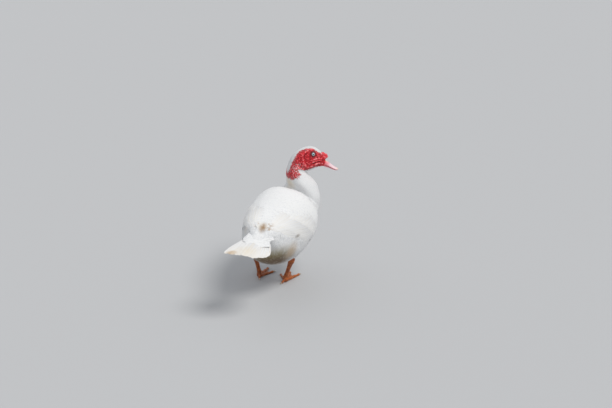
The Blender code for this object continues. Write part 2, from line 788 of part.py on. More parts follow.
def tail(body):
    """Rump end, long rectrices in a fan, and the coverts above and below them."""
    rings = [body_ring(ORDER.index("rump") * (1 - i / 4), RING_SIDES) for i in range(5)]
    last = rings[-1]
    middle = sum(last, Vector()) / RING_SIDES
    start = tail_frame(-SECTIONS["tail_root"][0][0] + TAIL_PIVOT[0], 0)[0]
    for reach, shrink in TAIL_CORE:
        shift = tail_frame(reach, 0)[0] - start
        centre = middle.lerp(start, 1 - shrink) + shift
        rings.append([centre + (p - middle) * shrink for p in last])
    base = loft("tail", rings)
    pieces = []
    for pair in range(RECTRIX_PAIRS):
        share = (pair + 0.5) / RECTRIX_PAIRS
        for sign, reach in ((1, RECTRIX_REACH_LEFT), (-1, RECTRIX_REACH_RIGHT)):
            # The left one of the middle pair lies over the right one.
            level = pair + (0.5 if sign < 0 and pair == 0 else 0) + (0.5 if pair > 0 else 0)
            height = -RECTRIX_STEP_DOWN * level
            tip = mix(*reach, share**1.5)
            pieces.append(
                fan_vane(
                    f"rectrix_{pair}_{sign}",
                    sign * RECTRIX_SPREAD * share,
                    RECTRIX_ROOT,
                    tip,
                    RECTRIX_HALF_WIDTH,
                    (height, height),
                )
            )
    for row, (count, root, tip, spread, half, heights, tilt) in TAIL_COVERTS.items():
        for i in range(count):
            degrees = mix(-spread, spread, i / (count - 1))
            pieces.append(fan_vane(f"{row}_{i}", degrees, root, tip, half, heights, tilt=tilt))
    joined(base, pieces, "MANIFOLD")
    cut(base, grown(body, GAP, "body_cutter"), solver="MANIFOLD")
    return keep_largest(base)


def tube(name, centres, radii, sides, flatten=1.0):
    """A closed tube with round sections through centres, in the bird's frame."""
    rings = []
    for i, (centre, radius) in enumerate(zip(centres, radii)):
        before, after = centres[max(i - 1, 0)], centres[min(i + 1, len(centres) - 1)]
        axis = (after - before).normalized()
        side = axis.cross(Vector((1, 0, 0))).normalized()
        front = side.cross(axis).normalized()
        rings.append(
            [
                centre
                + side * radius * flatten * math.cos(2 * math.pi * j / sides)
                + front * radius * math.sin(2 * math.pi * j / sides)
                for j in range(sides)
            ]
        )
    return loft(name, rings)


def thigh(side, body):
    """The feathered shank from inside the body down to the hock."""
    sign = mirrored(side)
    top = lean(THIGH_TOP[0], sign * THIGH_TOP[1], THIGH_TOP[2])
    hock = Vector(HOCKS[side])
    end = hock + (top - hock).normalized() * THIGH_STOP
    centres, radii = [], []
    for i in range(THIGH_STEPS + 1):
        share = i / THIGH_STEPS
        centres.append(top.lerp(end, share))
        radii.append(mix(THIGH_ROOT_RADIUS, THIGH_END_RADIUS, share**THIGH_TAPER))
    base = tube(f"thigh_{side}", centres, radii, THIGH_SIDES)
    cut(base, grown(body, GAP, "body_cutter"), solver="MANIFOLD")
    return keep_largest(base)


def leg(side, body):
    """The bare shank from the hock to the ankle."""
    sign = mirrored(side)
    top = lean(THIGH_TOP[0], sign * THIGH_TOP[1], THIGH_TOP[2])
    hock = Vector(HOCKS[side])
    start = hock + (top - hock).normalized() * (THIGH_STOP - GAP)
    heel = Vector((*HEELS[side], ANKLE_HEIGHT))
    centres = [start, hock] + [hock.lerp(heel, share) for share in TARSUS_PLACES]
    base = tube(f"leg_{side}", centres, TARSUS_RADII, TARSUS_SIDES)
    cut(base, grown(body, GAP, "body_cutter"), solver="MANIFOLD")
    return keep_largest(base)


def toe_direction(side, toe):
    """The way that a toe points on the ground, as (forward, left)."""
    sign = mirrored(side)
    angle = math.radians(TOES[toe][1] * sign - FOOT_TURN_IN * sign)
    return Vector((math.cos(angle), math.sin(angle), 0))


def hallux_direction(side):
    """The way that the small hind toe points on the ground."""
    back = -toe_direction(side, "middle")
    across = Vector((-back.y, back.x, 0)) * mirrored(side)
    return (back + across * HALLUX_SPLAY).normalized()


def foot(side, shank):
    """Webbed sole, knuckled toes and the ankle pad, all on one flat sole."""
    sign = mirrored(side)
    heel = Vector((*HEELS[side], 0))
    order = ("inner", "middle", "outer")
    outline = []
    back = -toe_direction(side, "middle")
    across = Vector((-back.y, back.x, 0))
    for turn in WEB_HEEL_TURNS:
        angle = math.radians(turn)
        way = back * math.cos(angle) + across * math.sin(angle) * sign
        outline.append(heel + way * WEB_HEEL_RADIUS)
    tips = [(heel + toe_direction(side, toe) * TOES[toe][0], toe_direction(side, toe)) for toe in order]
    for i, (tip, way) in enumerate(tips):
        out = Vector((-way.y, way.x, 0)) * sign * WEB_TIP_HALF_WIDTH
        behind = tip - way * WEB_TIP_BACK
        outline += [behind - out, tip + way * WEB_TIP_AHEAD, behind + out]
        if i < len(tips) - 1:
            next_tip = tips[i + 1][0]
            for share in (0.25, 0.5, 0.75):
                edge = tip.lerp(next_tip, share)
                dip = 1 - (1 - WEB_NOTCH) * math.sin(math.pi * share)
                outline.append(heel + (edge - heel) * dip)
    count = len(outline)
    points = outline + [p + Vector((0, 0, WEB_THICKNESS)) for p in outline]
    faces = [tuple(reversed(range(count))), tuple(range(count, 2 * count))]
    for i in range(count):
        j = (i + 1) % count
        faces += [(i, j, count + j), (i, count + j, count + i)]
    base = mesh_object(f"foot_{side}", points, faces)
    pieces = []
    for toe in order:
        way, length = toe_direction(side, toe), TOES[toe][0]
        centres, radii = [], []
        for k in range(TOE_STEPS + 1):
            share = k / TOE_STEPS
            knuckle = 1 + TOE_KNUCKLE * math.cos(share * math.pi * (4 if toe == "inner" else 6))
            radius = TOES[toe][2] * mix(1.0, TOE_END_SHARE, share) * knuckle
            along = length * mix(*TOE_REACH, share)
            centres.append(heel + way * along + Vector((0, 0, radius + SOLE_MARGIN)))
            radii.append(radius)
        pieces.append(tube(f"toe_{toe}", centres, radii, TOE_SIDES))
    pad = heel + Vector((0, 0, PAD_RADII[1] + SOLE_MARGIN))
    pieces.append(ellipsoid("pad", pad, upright_axes(Vector((1, 0, 0))), PAD_RADII, 2))
    centres = [
        heel + hallux_direction(side) * (HALLUX_START + HALLUX_LENGTH * share)
        + Vector((0, 0, mix(*HALLUX_HEIGHTS, share)))
        for share in HALLUX_PLACES
    ]
    pieces.append(tube("hallux", centres, HALLUX_RADII, TOE_SIDES))
    joined(base, pieces, "MANIFOLD")
    cut(base, grown(shank, GAP, "shank_cutter"), solver="MANIFOLD")
    return keep_largest(base)


def claw(side, toe):
    """One curved claw, blunt at its root, on the end of a toe."""
    heel = Vector((*HEELS[side], 0))
    if toe == "hallux":
        way = hallux_direction(side)
        reach = HALLUX_START + HALLUX_LENGTH + GAP
        height, size = HALLUX_HEIGHTS[1], HALLUX_CLAW_SIZE
    else:
        way = toe_direction(side, toe)
        reach = TOES[toe][0] + WEB_TIP_AHEAD + GAP
        height, size = CLAW_HEIGHT, 1.0
    centres, radii = [], []
    for share in CLAW_PLACES:
        along = reach + CLAW_LENGTH * size * share
        centres.append(heel + way * along + Vector((0, 0, height - CLAW_DROP * size * share**2)))
        radii.append(max(CLAW_TIP_RADIUS, CLAW_RADIUS * size * (1 - share) ** 0.8))
    return tube(f"claw_{side}_{toe}", centres, radii, TOE_SIDES)


def paint(thing, material):
    """One plain material on the whole object."""
    colour, roughness, metallic = MATERIALS[material]
    found = bpy.data.materials.get(material)
    if found is None:
        found = bpy.data.materials.new(material)
        found.use_nodes = True
        shader = found.node_tree.nodes["Principled BSDF"]
        shader.inputs["Base Color"].default_value = (*colour, 1)
        shader.inputs["Roughness"].default_value = roughness
        shader.inputs["Metallic"].default_value = metallic
    thing.data.materials.clear()
    thing.data.materials.append(found)


def main():
    for thing in list(bpy.data.objects):
        bpy.data.objects.remove(thing)
    body = torso()
    paint(body, "white_feather")
    paint(neck(), "white_feather")
    paint(head(), "red_skin")
    nail, upper, lower = bill()
    paint(nail, "bill_nail")
    paint(upper, "bill_horn")
    paint(lower, "bill_horn")
    rump = tail(body)
    paint(rump, "white_feather")
    for side in ("left", "right"):
        paint(eye(side), "eye")
        paint(wing(side, (body, rump)), "white_feather")
        paint(thigh(side, body), "white_feather")
        shank = leg(side, body)
        paint(shank, "leg_skin")
        paint(foot(side, shank), "leg_skin")
        for toe in (*TOES, "hallux"):
            paint(claw(side, toe), "claw")


main()
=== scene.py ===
"""Looks of a white muscovy drake that stands with its head turned to its right.

Lengths are metres and angles are degrees. The shapes follow the frame's solids: they are
worked out in the bird's own frame, as (forward, left, up) from the ground point midway
between its heels. In the world the bird looks along -Y, its left side is +X, up is +Z.
"""

import math

import bmesh
import bpy
import numpy as np
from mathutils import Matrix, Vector, kdtree, noise


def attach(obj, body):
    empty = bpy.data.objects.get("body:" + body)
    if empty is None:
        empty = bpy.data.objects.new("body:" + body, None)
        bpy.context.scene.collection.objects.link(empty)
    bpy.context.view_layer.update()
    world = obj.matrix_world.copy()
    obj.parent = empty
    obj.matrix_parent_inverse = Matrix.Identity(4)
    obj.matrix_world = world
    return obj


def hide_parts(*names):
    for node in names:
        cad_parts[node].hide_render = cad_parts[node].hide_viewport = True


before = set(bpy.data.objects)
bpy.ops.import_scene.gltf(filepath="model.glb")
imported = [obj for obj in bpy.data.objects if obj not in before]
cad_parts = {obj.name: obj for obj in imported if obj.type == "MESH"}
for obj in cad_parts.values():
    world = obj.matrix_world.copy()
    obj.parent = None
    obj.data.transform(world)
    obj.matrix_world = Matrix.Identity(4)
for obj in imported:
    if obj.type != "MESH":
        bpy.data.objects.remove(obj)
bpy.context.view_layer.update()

SEED = 11
SIDES = {"left": 1, "right": -1}
TINY = 1e-12

# Stance, as in the solids
BOX_MIDDLE_FORWARD = -0.0767
BOX_MIDDLE_LEFT = -0.0322
BODY_SHIFT_RIGHT = 0.010
BODY_LEAN_RIGHT = 9.0
HIP_HEIGHT = 0.120
HEAD_HEIGHT = 0.333
NECK_AXIS_FORWARD = 0.145

# Body sections from the tail root to the bill root: back point and belly point as
# (forward, up), half width, the share of the depth at which it is widest, turn to the
# right, shift to the right, and how far the section follows the lean of the body.
SECTIONS = {
    "tail_root": ((-0.215, 0.221), (-0.205, 0.176), 0.034, 0.50, 0, 0.000, 1.0),
    "rump": ((-0.180, 0.233), (-0.165, 0.121), 0.055, 0.50, 0, 0.000, 1.0),
    "hips": ((-0.115, 0.246), (-0.095, 0.081), 0.074, 0.52, 0, 0.000, 1.0),
    "loin": ((-0.050, 0.255), (-0.030, 0.067), 0.087, 0.54, 0, 0.000, 1.0),
    "back": ((0.015, 0.259), (0.040, 0.074), 0.092, 0.55, 0, 0.000, 1.0),
    "shoulders": ((0.068, 0.257), (0.105, 0.088), 0.089, 0.54, 2, 0.000, 1.0),
    "breast": ((0.096, 0.249), (0.160, 0.119), 0.081, 0.52, 8, 0.002, 1.0),
    "crop": ((0.112, 0.243), (0.196, 0.162), 0.070, 0.50, 18, 0.010, 1.0),
    "neck_base": ((0.117, 0.250), (0.208, 0.212), 0.059, 0.48, 30, 0.013, 0.9),
    "neck": ((0.1150, 0.270), (0.203, 0.254), 0.047, 0.46, 43, 0.006, 0.7),
    "red_collar": ((0.1140, 0.294), (0.184, 0.281), 0.035, 0.48, 54, -0.003, 0.4),
    "throat": ((0.1185, 0.316), (0.1735, 0.293), 0.0270, 0.50, 62, -0.007, 0.1),
    "jaw": ((0.129, 0.342), (0.182, 0.296), 0.0245, 0.52, 66, -0.006, 0.0),
    "cheek": ((0.151, 0.3615), (0.192, 0.3005), 0.0260, 0.52, 67, -0.006, 0.0),
    "eye": ((0.182, 0.3700), (0.202, 0.3045), 0.0245, 0.48, 67, -0.006, 0.0),
    "forehead": ((0.206, 0.3615), (0.210, 0.3075), 0.0200, 0.48, 67, -0.006, 0.0),
    "lores": ((0.2205, 0.345), (0.217, 0.3085), 0.0160, 0.52, 67, -0.006, 0.0),
    "bill_root": ((0.2290, 0.3265), (0.221, 0.3085), 0.0125, 0.55, 67, -0.006, 0.0),
}
SECTION_ROWS = np.array([(*back, *belly, *rest) for back, belly, *rest in SECTIONS.values()])
LAST_SECTION = len(SECTIONS) - 1
SQUARENESS = 0.92
SKIN_STEPS = (0.02, 1.0)

# Where the red bare skin ends on each side of the head, as (section, degrees) places,
# the rough metres of a section and a degree there, and how soft and ragged its edge is
FACE_OUTLINE = (
    (17.8, -2), (15.9, -2), (15.75, 22), (15.4, 38), (14.95, 47), (14.5, 39), (14.0, 30),
    (13.5, 24), (12.9, 17), (12.4, 25), (12.0, 32), (11.3, 32), (10.7, 25), (10.25, 12),
    (9.9, -3), (9.2, -3), (9.3, 24), (9.65, 55), (9.95, 80), (10.25, 97), (10.6, 84), (11.0, 84),
    (11.2, 100), (11.35, 126), (11.9, 136), (13.0, 142), (14.3, 154), (15.5, 170),
    (16.0, 182), (17.8, 182),
)
FACE_SCALE = (0.012, 0.00042)
FACE_EDGE = 0.0016
FACE_RAGGED = ((0.0022, 330, 3.0), (0.0016, 800, 7.0))

# The coat's depth and the length of its feathers, by section
COAT_DEPTH = ((0, 0.0028), (6, 0.0027), (9, 0.0022), (11, 0.0017), (13, 0.0014), (17, 0.0011))
FEATHER_LENGTH = (
    (-1, 0.036), (0, 0.032), (2, 0.030), (5, 0.028), (6.5, 0.022), (8, 0.0165),
    (9.5, 0.0120), (11, 0.0092), (12.5, 0.0076), (15.6, 0.0060),
)
FEATHER_SLIMNESS = ((0, 0.27), (6, 0.26), (9, 0.19), (12, 0.13), (15.6, 0.10))
FEATHER_SPACING_SHARE = 0.142
SCAPULAR_GROWTH = 0.30
FLATTER_BY_THE_WING = 0.62
FEATHER_SINK_SHARE = 0.02

# Wings, in shares: s runs from the shoulder to the tail root, q from back to belly. The
# edges are degrees round the body, at the start, the middle and the end.
WING_SECTIONS = (6.35, 0.35)
WING_UPPER_EDGE = (12.0, 9.0, 10.0)
WING_LOWER_EDGE = (104.0, 98.0, 60.0)
WING_STEPS = (0.004, 0.01)

# Height of the plumage's outer form over the body along s, and its shares over q
DOME_ALONG = (
    (-0.16, 0.0), (-0.04, 0.0048), (0.10, 0.0100), (0.28, 0.0122), (0.50, 0.0116),
    (0.70, 0.0098), (0.85, 0.0074), (1.00, 0.0048), (1.06, 0.0030), (1.16, 0.0),
)
DOME_ACROSS = (
    (-0.12, 0.28), (0.0, 0.44), (0.22, 0.84), (0.45, 1.0), (0.62, 1.0), (0.84, 0.72),
    (1.0, 0.40), (1.08, 0.26), (1.5, 0.0),
)

# A fuller place of plumage at the back of the neck's base
NAPE_FILL = 0.0042
NAPE_FILL_AT = 9.0
NAPE_FILL_LENGTH = 0.75
NAPE_FILL_WIDTH = 55.0

# Tail fan
TAIL_PIVOT = (-0.105, 0.210)
TAIL_DROP = 0.05
TAIL_ARCH = 1.4
TAIL_SWING_LEFT = -1.0
TAIL_STEPS = (0.001, 0.5)
TAIL_CORE_REACH = 0.182
TAIL_CORE_DROP = 0.014
TAIL_CORE_SHRINK = 0.88


def stacked(*values):
    """Points whose coordinates are the values."""
    return np.stack(np.broadcast_arrays(*values), -1)


def place(forward, left, up):
    """World coordinates of points in the bird's frame."""
    return stacked(left - BOX_MIDDLE_LEFT, BOX_MIDDLE_FORWARD - forward, up)


def mix(a, b, share):
    return a + (b - a) * share


def smooth(low, high, value):
    """0 below low, 1 above high, and a smooth step between."""
    share = np.clip((value - low) / (high - low), 0, 1)
    return share * share * (3 - 2 * share)


def bell(value):
    """1 at zero, falling smoothly towards 0 on both sides."""
    return np.exp(-(value**2))


def read(table, at):
    """A value that changes along the sections, read between the places of a short table."""
    return np.interp(at, *zip(*table))


def unit(vectors):
    return vectors / np.maximum(np.linalg.norm(vectors, axis=-1, keepdims=True), TINY)


def dot(a, b):
    return (a * b).sum(-1)


def three_point(values, share):
    """A smooth bend through the values at 0, 0.5 and 1."""
    first, middle, last = values
    return (
        first * (1 - share) * (1 - 2 * share)
        + middle * 4 * share * (1 - share)
        + last * share * (2 * share - 1)
    )


def curve_through(rows, at):
    """Rows of numbers at fractional places, on a Catmull-Rom curve through them."""
    last = len(rows) - 1
    start = np.clip(np.floor(at).astype(int), 0, last - 1)
    share = (at - start)[..., None]
    before, first, second, after = (rows[np.clip(start + step, 0, last)] for step in (-1, 0, 1, 2))
    slope, next_slope = (second - before) / 2, (after - first) / 2
    cube = 2 * (first - second) + slope + next_slope
    square = 3 * (second - first) - 2 * slope - next_slope
    return ((cube * share + square) * share + slope) * share + first


def lean(forward, left, up, follows=1.0):
    """World coordinates of points of the upright body, once the body leans on its legs."""
    sine = math.sin(math.radians(BODY_LEAN_RIGHT))
    over = (mix(HEAD_HEIGHT, up, follows) - HIP_HEIGHT) * sine + BODY_SHIFT_RIGHT
    return place(forward, left - over, up + left * sine * follows)


def turned(forward, left, degrees, shift):
    """Points turned to the right about the upright neck axis, then shifted to the right."""
    angle = np.radians(degrees)
    ahead = forward - NECK_AXIS_FORWARD
    cosine, sine = np.cos(angle), np.sin(angle)
    return NECK_AXIS_FORWARD + ahead * cosine + left * sine, left * cosine - ahead * sine - shift


def body_points(at, degrees):
    """The body's surface: at counts sections from the tail root, and degrees goes from 0
    on the back through 90 on the left flank to 180 on the belly."""
    at, degrees = np.broadcast_arrays(np.asarray(at, float), np.asarray(degrees, float))
    values = np.moveaxis(curve_through(SECTION_ROWS, at), -1, 0)
    back_forward, back_up, belly_forward, belly_up, half_width, widest, turn, shift, follows = values
    angle = np.radians(degrees)
    depth = ((1 - np.cos(angle)) / 2) ** (np.log(widest) / math.log(0.5))
    side = np.sign(np.sin(angle)) * np.abs(np.sin(angle)) ** SQUARENESS
    forward, left = turned(mix(back_forward, belly_forward, depth), half_width * side, turn, shift)
    return lean(forward, left, mix(back_up, belly_up, depth), follows)


def slopes_of(points, u, v, steps):
    """Points, their slopes a unit of u and of v, and the unit normal on the side of u x v."""
    u, v = np.asarray(u, float), np.asarray(v, float)
    du, dv = steps
    along = (points(u + du, v) - points(u - du, v)) / (2 * du)
    around = (points(u, v + dv) - points(u, v - dv)) / (2 * dv)
    return points(u, v), along, around, unit(np.cross(along, around))


def body_frame(at, degrees):
    return slopes_of(body_points, at, degrees, SKIN_STEPS)


def head_point(ahead, left, up):
    """A point of the head, given ahead of the neck axis along the way that the bill points."""
    *_, turn, shift, follows = SECTIONS["eye"]
    return lean(*turned(NECK_AXIS_FORWARD + ahead, left, turn, shift), up, follows)


def head_axes():
    """World unit vectors of the head: ahead, left and up."""
    origin = head_point(0.0, 0.0, 0.0)
    ahead, left = (unit(head_point(*way, 0.0) - origin) for way in ((1.0, 0.0), (0.0, 1.0)))
    return ahead, left, np.cross(ahead, left)


def wing_edges(s):
    """The degrees of a wing's upper and lower edge."""
    return three_point(WING_UPPER_EDGE, s), three_point(WING_LOWER_EDGE, s)


def wing_share(at, degrees):
    """A wing's own coordinates of a place on the body."""
    s = (at - WING_SECTIONS[0]) / (WING_SECTIONS[1] - WING_SECTIONS[0])
    upper, lower = wing_edges(np.clip(s, 0, 1))
    return s, (np.abs(degrees) - upper) / (lower - upper)


def dome(at, degrees):
    """How far the outer form of folded wings and mantle swells over the body."""
    s, q = wing_share(at, degrees)
    return read(DOME_ALONG, s) * read(DOME_ACROSS, q)


def vanes_lowest(s):
    """How far down the wing its large vanes show."""
    return mix(0.92, 0.84, smooth(0.55, 0.86, s))


def vanes_bare(at, degrees):
    """1 where the wing's large vanes show, 0 where small feathers lie over them."""
    s, q = wing_share(at, degrees)
    start = mix(0.58, 0.24, smooth(0.15, 0.80, q))
    end = mix(0.97, 0.82, smooth(0.28, 0.84, q))
    lowest = vanes_lowest(s)
    along = smooth(start - 0.03, start + 0.05, s) * (1 - smooth(end - 0.03, end + 0.03, s))
    return along * smooth(0.0, 0.06, q) * (1 - smooth(lowest - 0.04, lowest + 0.02, q))


def wing_frame(sign):
    """The frame of one wing's coordinates, on the outer form of the plumage."""

    def points(s, q):
        at, degrees = mix(*WING_SECTIONS, s), sign * mix(*wing_edges(s), q)
        foot, _, _, normal = body_frame(at, degrees)
        return foot + normal * dome(at, degrees)[..., None]

    def frame_at(s, q):
        # s runs against the sections, so the plain normal points inwards on the left wing.
        middle, along, around, normal = slopes_of(points, s, q, WING_STEPS)
        return middle, along, around, normal * -sign

    return frame_at


def tail_points(reach, degrees):
    """The tail's fan: reach from the pivot, and the angle to the left of straight back."""
    angle = np.radians(degrees + TAIL_SWING_LEFT)
    left = reach * np.sin(angle)
    up = TAIL_PIVOT[1] - TAIL_DROP * reach - TAIL_ARCH * left * left
    return lean(TAIL_PIVOT[0] - reach * np.cos(angle), left, up)


def tail_frame(reach, degrees):
    middle, along, around, normal = slopes_of(tail_points, reach, degrees, TAIL_STEPS)
    return middle, along, around, normal * np.sign(normal[..., 2:3])


def swapped_tail_frame(u, v):
    """The tail's frame with u falling from the pivot backwards, as small feathers lie."""
    middle, along, around, normal = tail_frame(-u, v)
    return middle, -along, around, normal


def distance_to_path(points, path):
    """Distances from points to a polyline, and the share along it that is nearest."""
    nearest = np.full(points.shape[:-1], 1.0)
    share_at = np.zeros(points.shape[:-1])
    for k, (a, b) in enumerate(zip(path, path[1:])):
        edge = b - a
        share = np.clip(dot(points - a, edge) / dot(edge, edge), 0, 1)
        away = np.linalg.norm(points - a - share[..., None] * edge, axis=-1)
        closer = away < nearest
        nearest = np.where(closer, away, nearest)
        share_at = np.where(closer, (k + share) / (len(path) - 1), share_at)
    return nearest, share_at


def signed_face_distance(at, degrees):
    """How far inside the red skin's outline a place is, in rough metres, below 0 outside."""
    x, y = at * FACE_SCALE[0], np.abs(degrees) * FACE_SCALE[1]
    corners = np.array((*FACE_OUTLINE, FACE_OUTLINE[0])) * FACE_SCALE
    inside = np.zeros(np.shape(x), bool)
    for (ax, ay), (bx, by) in zip(corners, corners[1:]):
        level = ax + (y - ay) * (bx - ax) / (by - ay or TINY)
        inside ^= ((ay > y) != (by > y)) & (x < level)
    nearest, _ = distance_to_path(stacked(x, y), corners)
    return np.where(inside, nearest, -nearest)


def coherent(points, *layers):
    """Smooth noise at many points, from layers of (amount, scale, seed)."""
    total = np.zeros(points.shape[:-1])
    for amount, scale, seed in layers:
        offset = Vector((seed, seed * 1.7, -seed))
        found = [noise.noise(Vector(point) * scale + offset) for point in points.reshape(-1, 3)]
        total += amount * np.reshape(found, total.shape)
    return total


def bareness(at, degrees, points):
    """1 on the red bare skin, 0 under feathers, with an uneven edge."""
    inside = signed_face_distance(at, degrees) + coherent(points, *FACE_RAGGED)
    return smooth(-FACE_EDGE, FACE_EDGE, inside)


def skin_height(at, degrees, bare=0.0):
    """How far the skin lies over the solids' surface."""
    off = np.hypot((at - NAPE_FILL_AT) / NAPE_FILL_LENGTH, degrees / NAPE_FILL_WIDTH)
    return dome(at, degrees) + NAPE_FILL * bell(off) - read(COAT_DEPTH, at) * (1 - bare)


def over_tail(at, points):
    """Draws the rings beyond the tail root, where at is below 0, in towards the tail."""
    share = np.clip(-at, 0, 1.1)[..., None]
    ring = body_points(0.0, np.arange(0, 360, 30)).mean(0)
    end = tail_points(TAIL_CORE_REACH, 0.0) - (0, 0, TAIL_CORE_DROP)
    return ring + (end - ring) * share + (points - ring) * (1 - TAIL_CORE_SHRINK * share**0.7)


def skin_points(at, degrees):
    on_body = np.maximum(at, 0)
    points, _, _, normal = body_frame(on_body, degrees)
    return over_tail(at, points + normal * skin_height(on_body, degrees)[..., None])


def skin_frame(at, degrees):
    return slopes_of(skin_points, at, degrees, SKIN_STEPS)


def linked(name, data):
    """A new object of the data, in the scene."""
    thing = bpy.data.objects.new(name, data)
    bpy.context.scene.collection.objects.link(thing)
    return thing


def add_value(mesh, key, numbers):
    layer = mesh.attributes.new(key, "FLOAT", "POINT")
    layer.data.foreach_set("value", np.asarray(numbers, np.float32).ravel())


def add_object(name, vertices, faces, bake=None, values=None, vane=None, normals=None, under=None):
    """A smooth mesh object of triangles or quads. bake, the values, vane and the normals
    are per vertex. The normals are turned round on the faces that are under."""
    faces = np.asarray(faces, np.int32)
    count, sides = faces.shape
    corners = faces.ravel()
    mesh = bpy.data.meshes.new(name)
    mesh.vertices.add(len(vertices))
    mesh.vertices.foreach_set("co", np.asarray(vertices, np.float32).ravel())
    mesh.loops.add(count * sides)
    mesh.loops.foreach_set("vertex_index", corners)
    mesh.polygons.add(count)
    mesh.polygons.foreach_set("loop_start", np.arange(0, count * sides, sides, dtype=np.int32))
    mesh.update(calc_edges=True)
    for layer, coordinates in (("vane", vane), ("OFBake", bake)):
        if coordinates is not None:
            made = mesh.uv_layers.new(name=layer)
            made.data.foreach_set("uv", np.asarray(coordinates, np.float32)[corners].ravel())
    for key, numbers in (values or {}).items():
        add_value(mesh, key, numbers)
    mesh.shade_smooth()
    if normals is not None:
        facing = unit(normals.reshape(-1, 3))[corners]
        if under is not None:
            facing = facing * np.where(np.repeat(under, sides), -1, 1)[:, None]
        mesh.normals_split_custom_set(facing.astype(np.float32))
    return linked(name, mesh)


def dress(thing, material, slot, *nodes):
    """Gives a piece its finish, and sets it in the frame in place of the nodes."""
    thing.data.materials.clear()
    thing.data.materials.append(material)
    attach(thing, "root")
    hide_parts(*nodes)


def unwrap(at, degrees):
    """Places on an unwrap of the skin: round it and along it, the head drawn larger."""
    along = read(((-1, 0.01), (0, 0.04), (9, 0.45), (17, 0.93), (18, 0.97)), at)
    return stacked(0.5 + np.asarray(degrees) / 375, along)


def grid_faces(rows, columns, closed=True):
    """Quads between rows of points, closed round each row where asked."""
    r = np.arange(rows - 1)[:, None] * columns
    c = np.arange(columns if closed else columns - 1)
    a, b = r + c, r + (c + 1) % columns
    return np.stack([a, b, b + columns, a + columns], -1).reshape(-1, 4)


def split_quads(quads):
    return np.concatenate([quads[:, [0, 1, 2]], quads[:, [0, 2, 3]]])


def closed_rings(rings):
    """Vertices and triangles of rows of rings, closed at both ends by a middle point."""
    rows, columns = rings.shape[:2]
    ring, base = np.arange(columns), (rows - 1) * columns
    following = np.roll(ring, -1)
    first = stacked(following, ring, rows * columns)
    last = stacked(ring + base, following + base, rows * columns + 1)
    vertices = np.concatenate([rings.reshape(-1, 3), rings[[0, -1]].mean(1)])
    return vertices, np.concatenate([split_quads(grid_faces(rows, columns)), first, last])


def merged(parts):
    """One set of vertices and triangles from several."""
    starts = np.cumsum([0] + [len(points) for points, _ in parts])
    faces = [triangles + start for (_, triangles), start in zip(parts, starts)]
    return np.concatenate([points for points, _ in parts]), np.concatenate(faces)


def repeated(faces, count, size):
    """The faces of many like pieces that have size vertices each."""
    return (faces + (np.arange(count) * size)[:, None, None]).reshape(-1, faces.shape[1])


def ball(make, **settings):
    """Vertices and triangles of a round primitive of radius 1."""
    made = bmesh.new()
    make(made, radius=1.0, **settings)
    bmesh.ops.triangulate(made, faces=made.faces)
    shape = np.array([v.co for v in made.verts])
    faces = np.array([[v.index for v in f.verts] for f in made.faces])
    made.free()
    return shape, faces


def cells_of(seeds, points, unshaded):
    """The nearest seed of each point, and how far the point is inside that seed's cell: 0
    on its wall and 1 where the next seed is farther by the rim."""
    tree = kdtree.KDTree(len(seeds))
    for i, seed in enumerate(seeds):
        tree.insert(Vector(seed), i)
    tree.balance()
    pairs = (tree.find_n(Vector(point), 2) for point in points)
    nearest, inside = zip(*((near[1], min(1.0, (far[2] - near[2]) / unshaded)) for near, far in pairs))
    return np.array(nearest), np.array(inside)


SCATTER_ROWS = 360
SCATTER_COLUMNS = 180
# Powers of this number give a two-dimensional sequence that keeps neighbours apart.
GOLDEN = 1.32471795724474602596


def scatter(first, last, density, seed):
    """Evenly spread places on the skin, as many as the density per square metre asks."""
    at = np.linspace(first, last, SCATTER_ROWS + 1)
    degrees = np.linspace(-180, 180, SCATTER_COLUMNS + 1)
    middles = np.meshgrid((at[1:] + at[:-1]) / 2, (degrees[1:] + degrees[:-1]) / 2, indexing="ij")
    _, along, around, _ = body_frame(*middles)
    cell = (at[1] - at[0]) * (degrees[1] - degrees[0])
    weight = np.linalg.norm(np.cross(along, around), axis=-1) * cell * density(*middles)
    rows = np.concatenate([[0], np.cumsum(weight.sum(1))]) / weight.sum()
    across = np.cumsum(weight, axis=1)
    across = np.pad(across / np.maximum(across[:, -1:], TINY), ((0, 0), (1, 0)))
    order = np.arange(int(weight.sum())) + seed
    u, v = (order / GOLDEN) % 1.0, (order / GOLDEN**2) % 1.0
    found_at = np.interp(u, rows, at)
    row = ((found_at - first) / (last - first) * SCATTER_ROWS).astype(int)
    row = np.clip(row, 0, SCATTER_ROWS - 1)
    column = np.minimum((across[row, 1:] < v[:, None]).sum(1), SCATTER_COLUMNS - 1)
    low, high = across[row, column], across[row, column + 1]
    share = (v - low) / np.maximum(high - low, TINY)
    return found_at, degrees[column] + share * (degrees[1] - degrees[0])


# Small feathers: how far their edges and tips bend down, as shares of their lift, how
# round they shade, how thick they are, how much they bend sideways, and the size of one's
# patch of the bake map
FEATHER_EDGE_DROP = 0.17
FEATHER_TIP_DROP = 0.34
FEATHER_ROUNDING = 0.26
FEATHER_THICKNESS = 0.00022
FEATHER_BEND = 0.07
FEATHER_BAKE_PATCH = (0.0014, 0.003)

# Rows of a small feather: how far along it is, and its share of the half width
FEATHER_ROWS = ((0.16, 0.62), (0.45, 1.00), (0.76, 0.92), (0.93, 0.56))
ROUND_ROWS = ((0.16, 0.62), (0.42, 1.00), (0.70, 0.96), (0.85, 0.78), (0.94, 0.54), (0.98, 0.32))
HAIR_ROWS = ((0.25, 0.85), (0.65, 0.80))
COVERT_ROWS = (
    (0.10, 0.50), (0.24, 0.82), (0.48, 1.00), (0.68, 0.96), (0.81, 0.84), (0.91, 0.62), (0.97, 0.36),
)


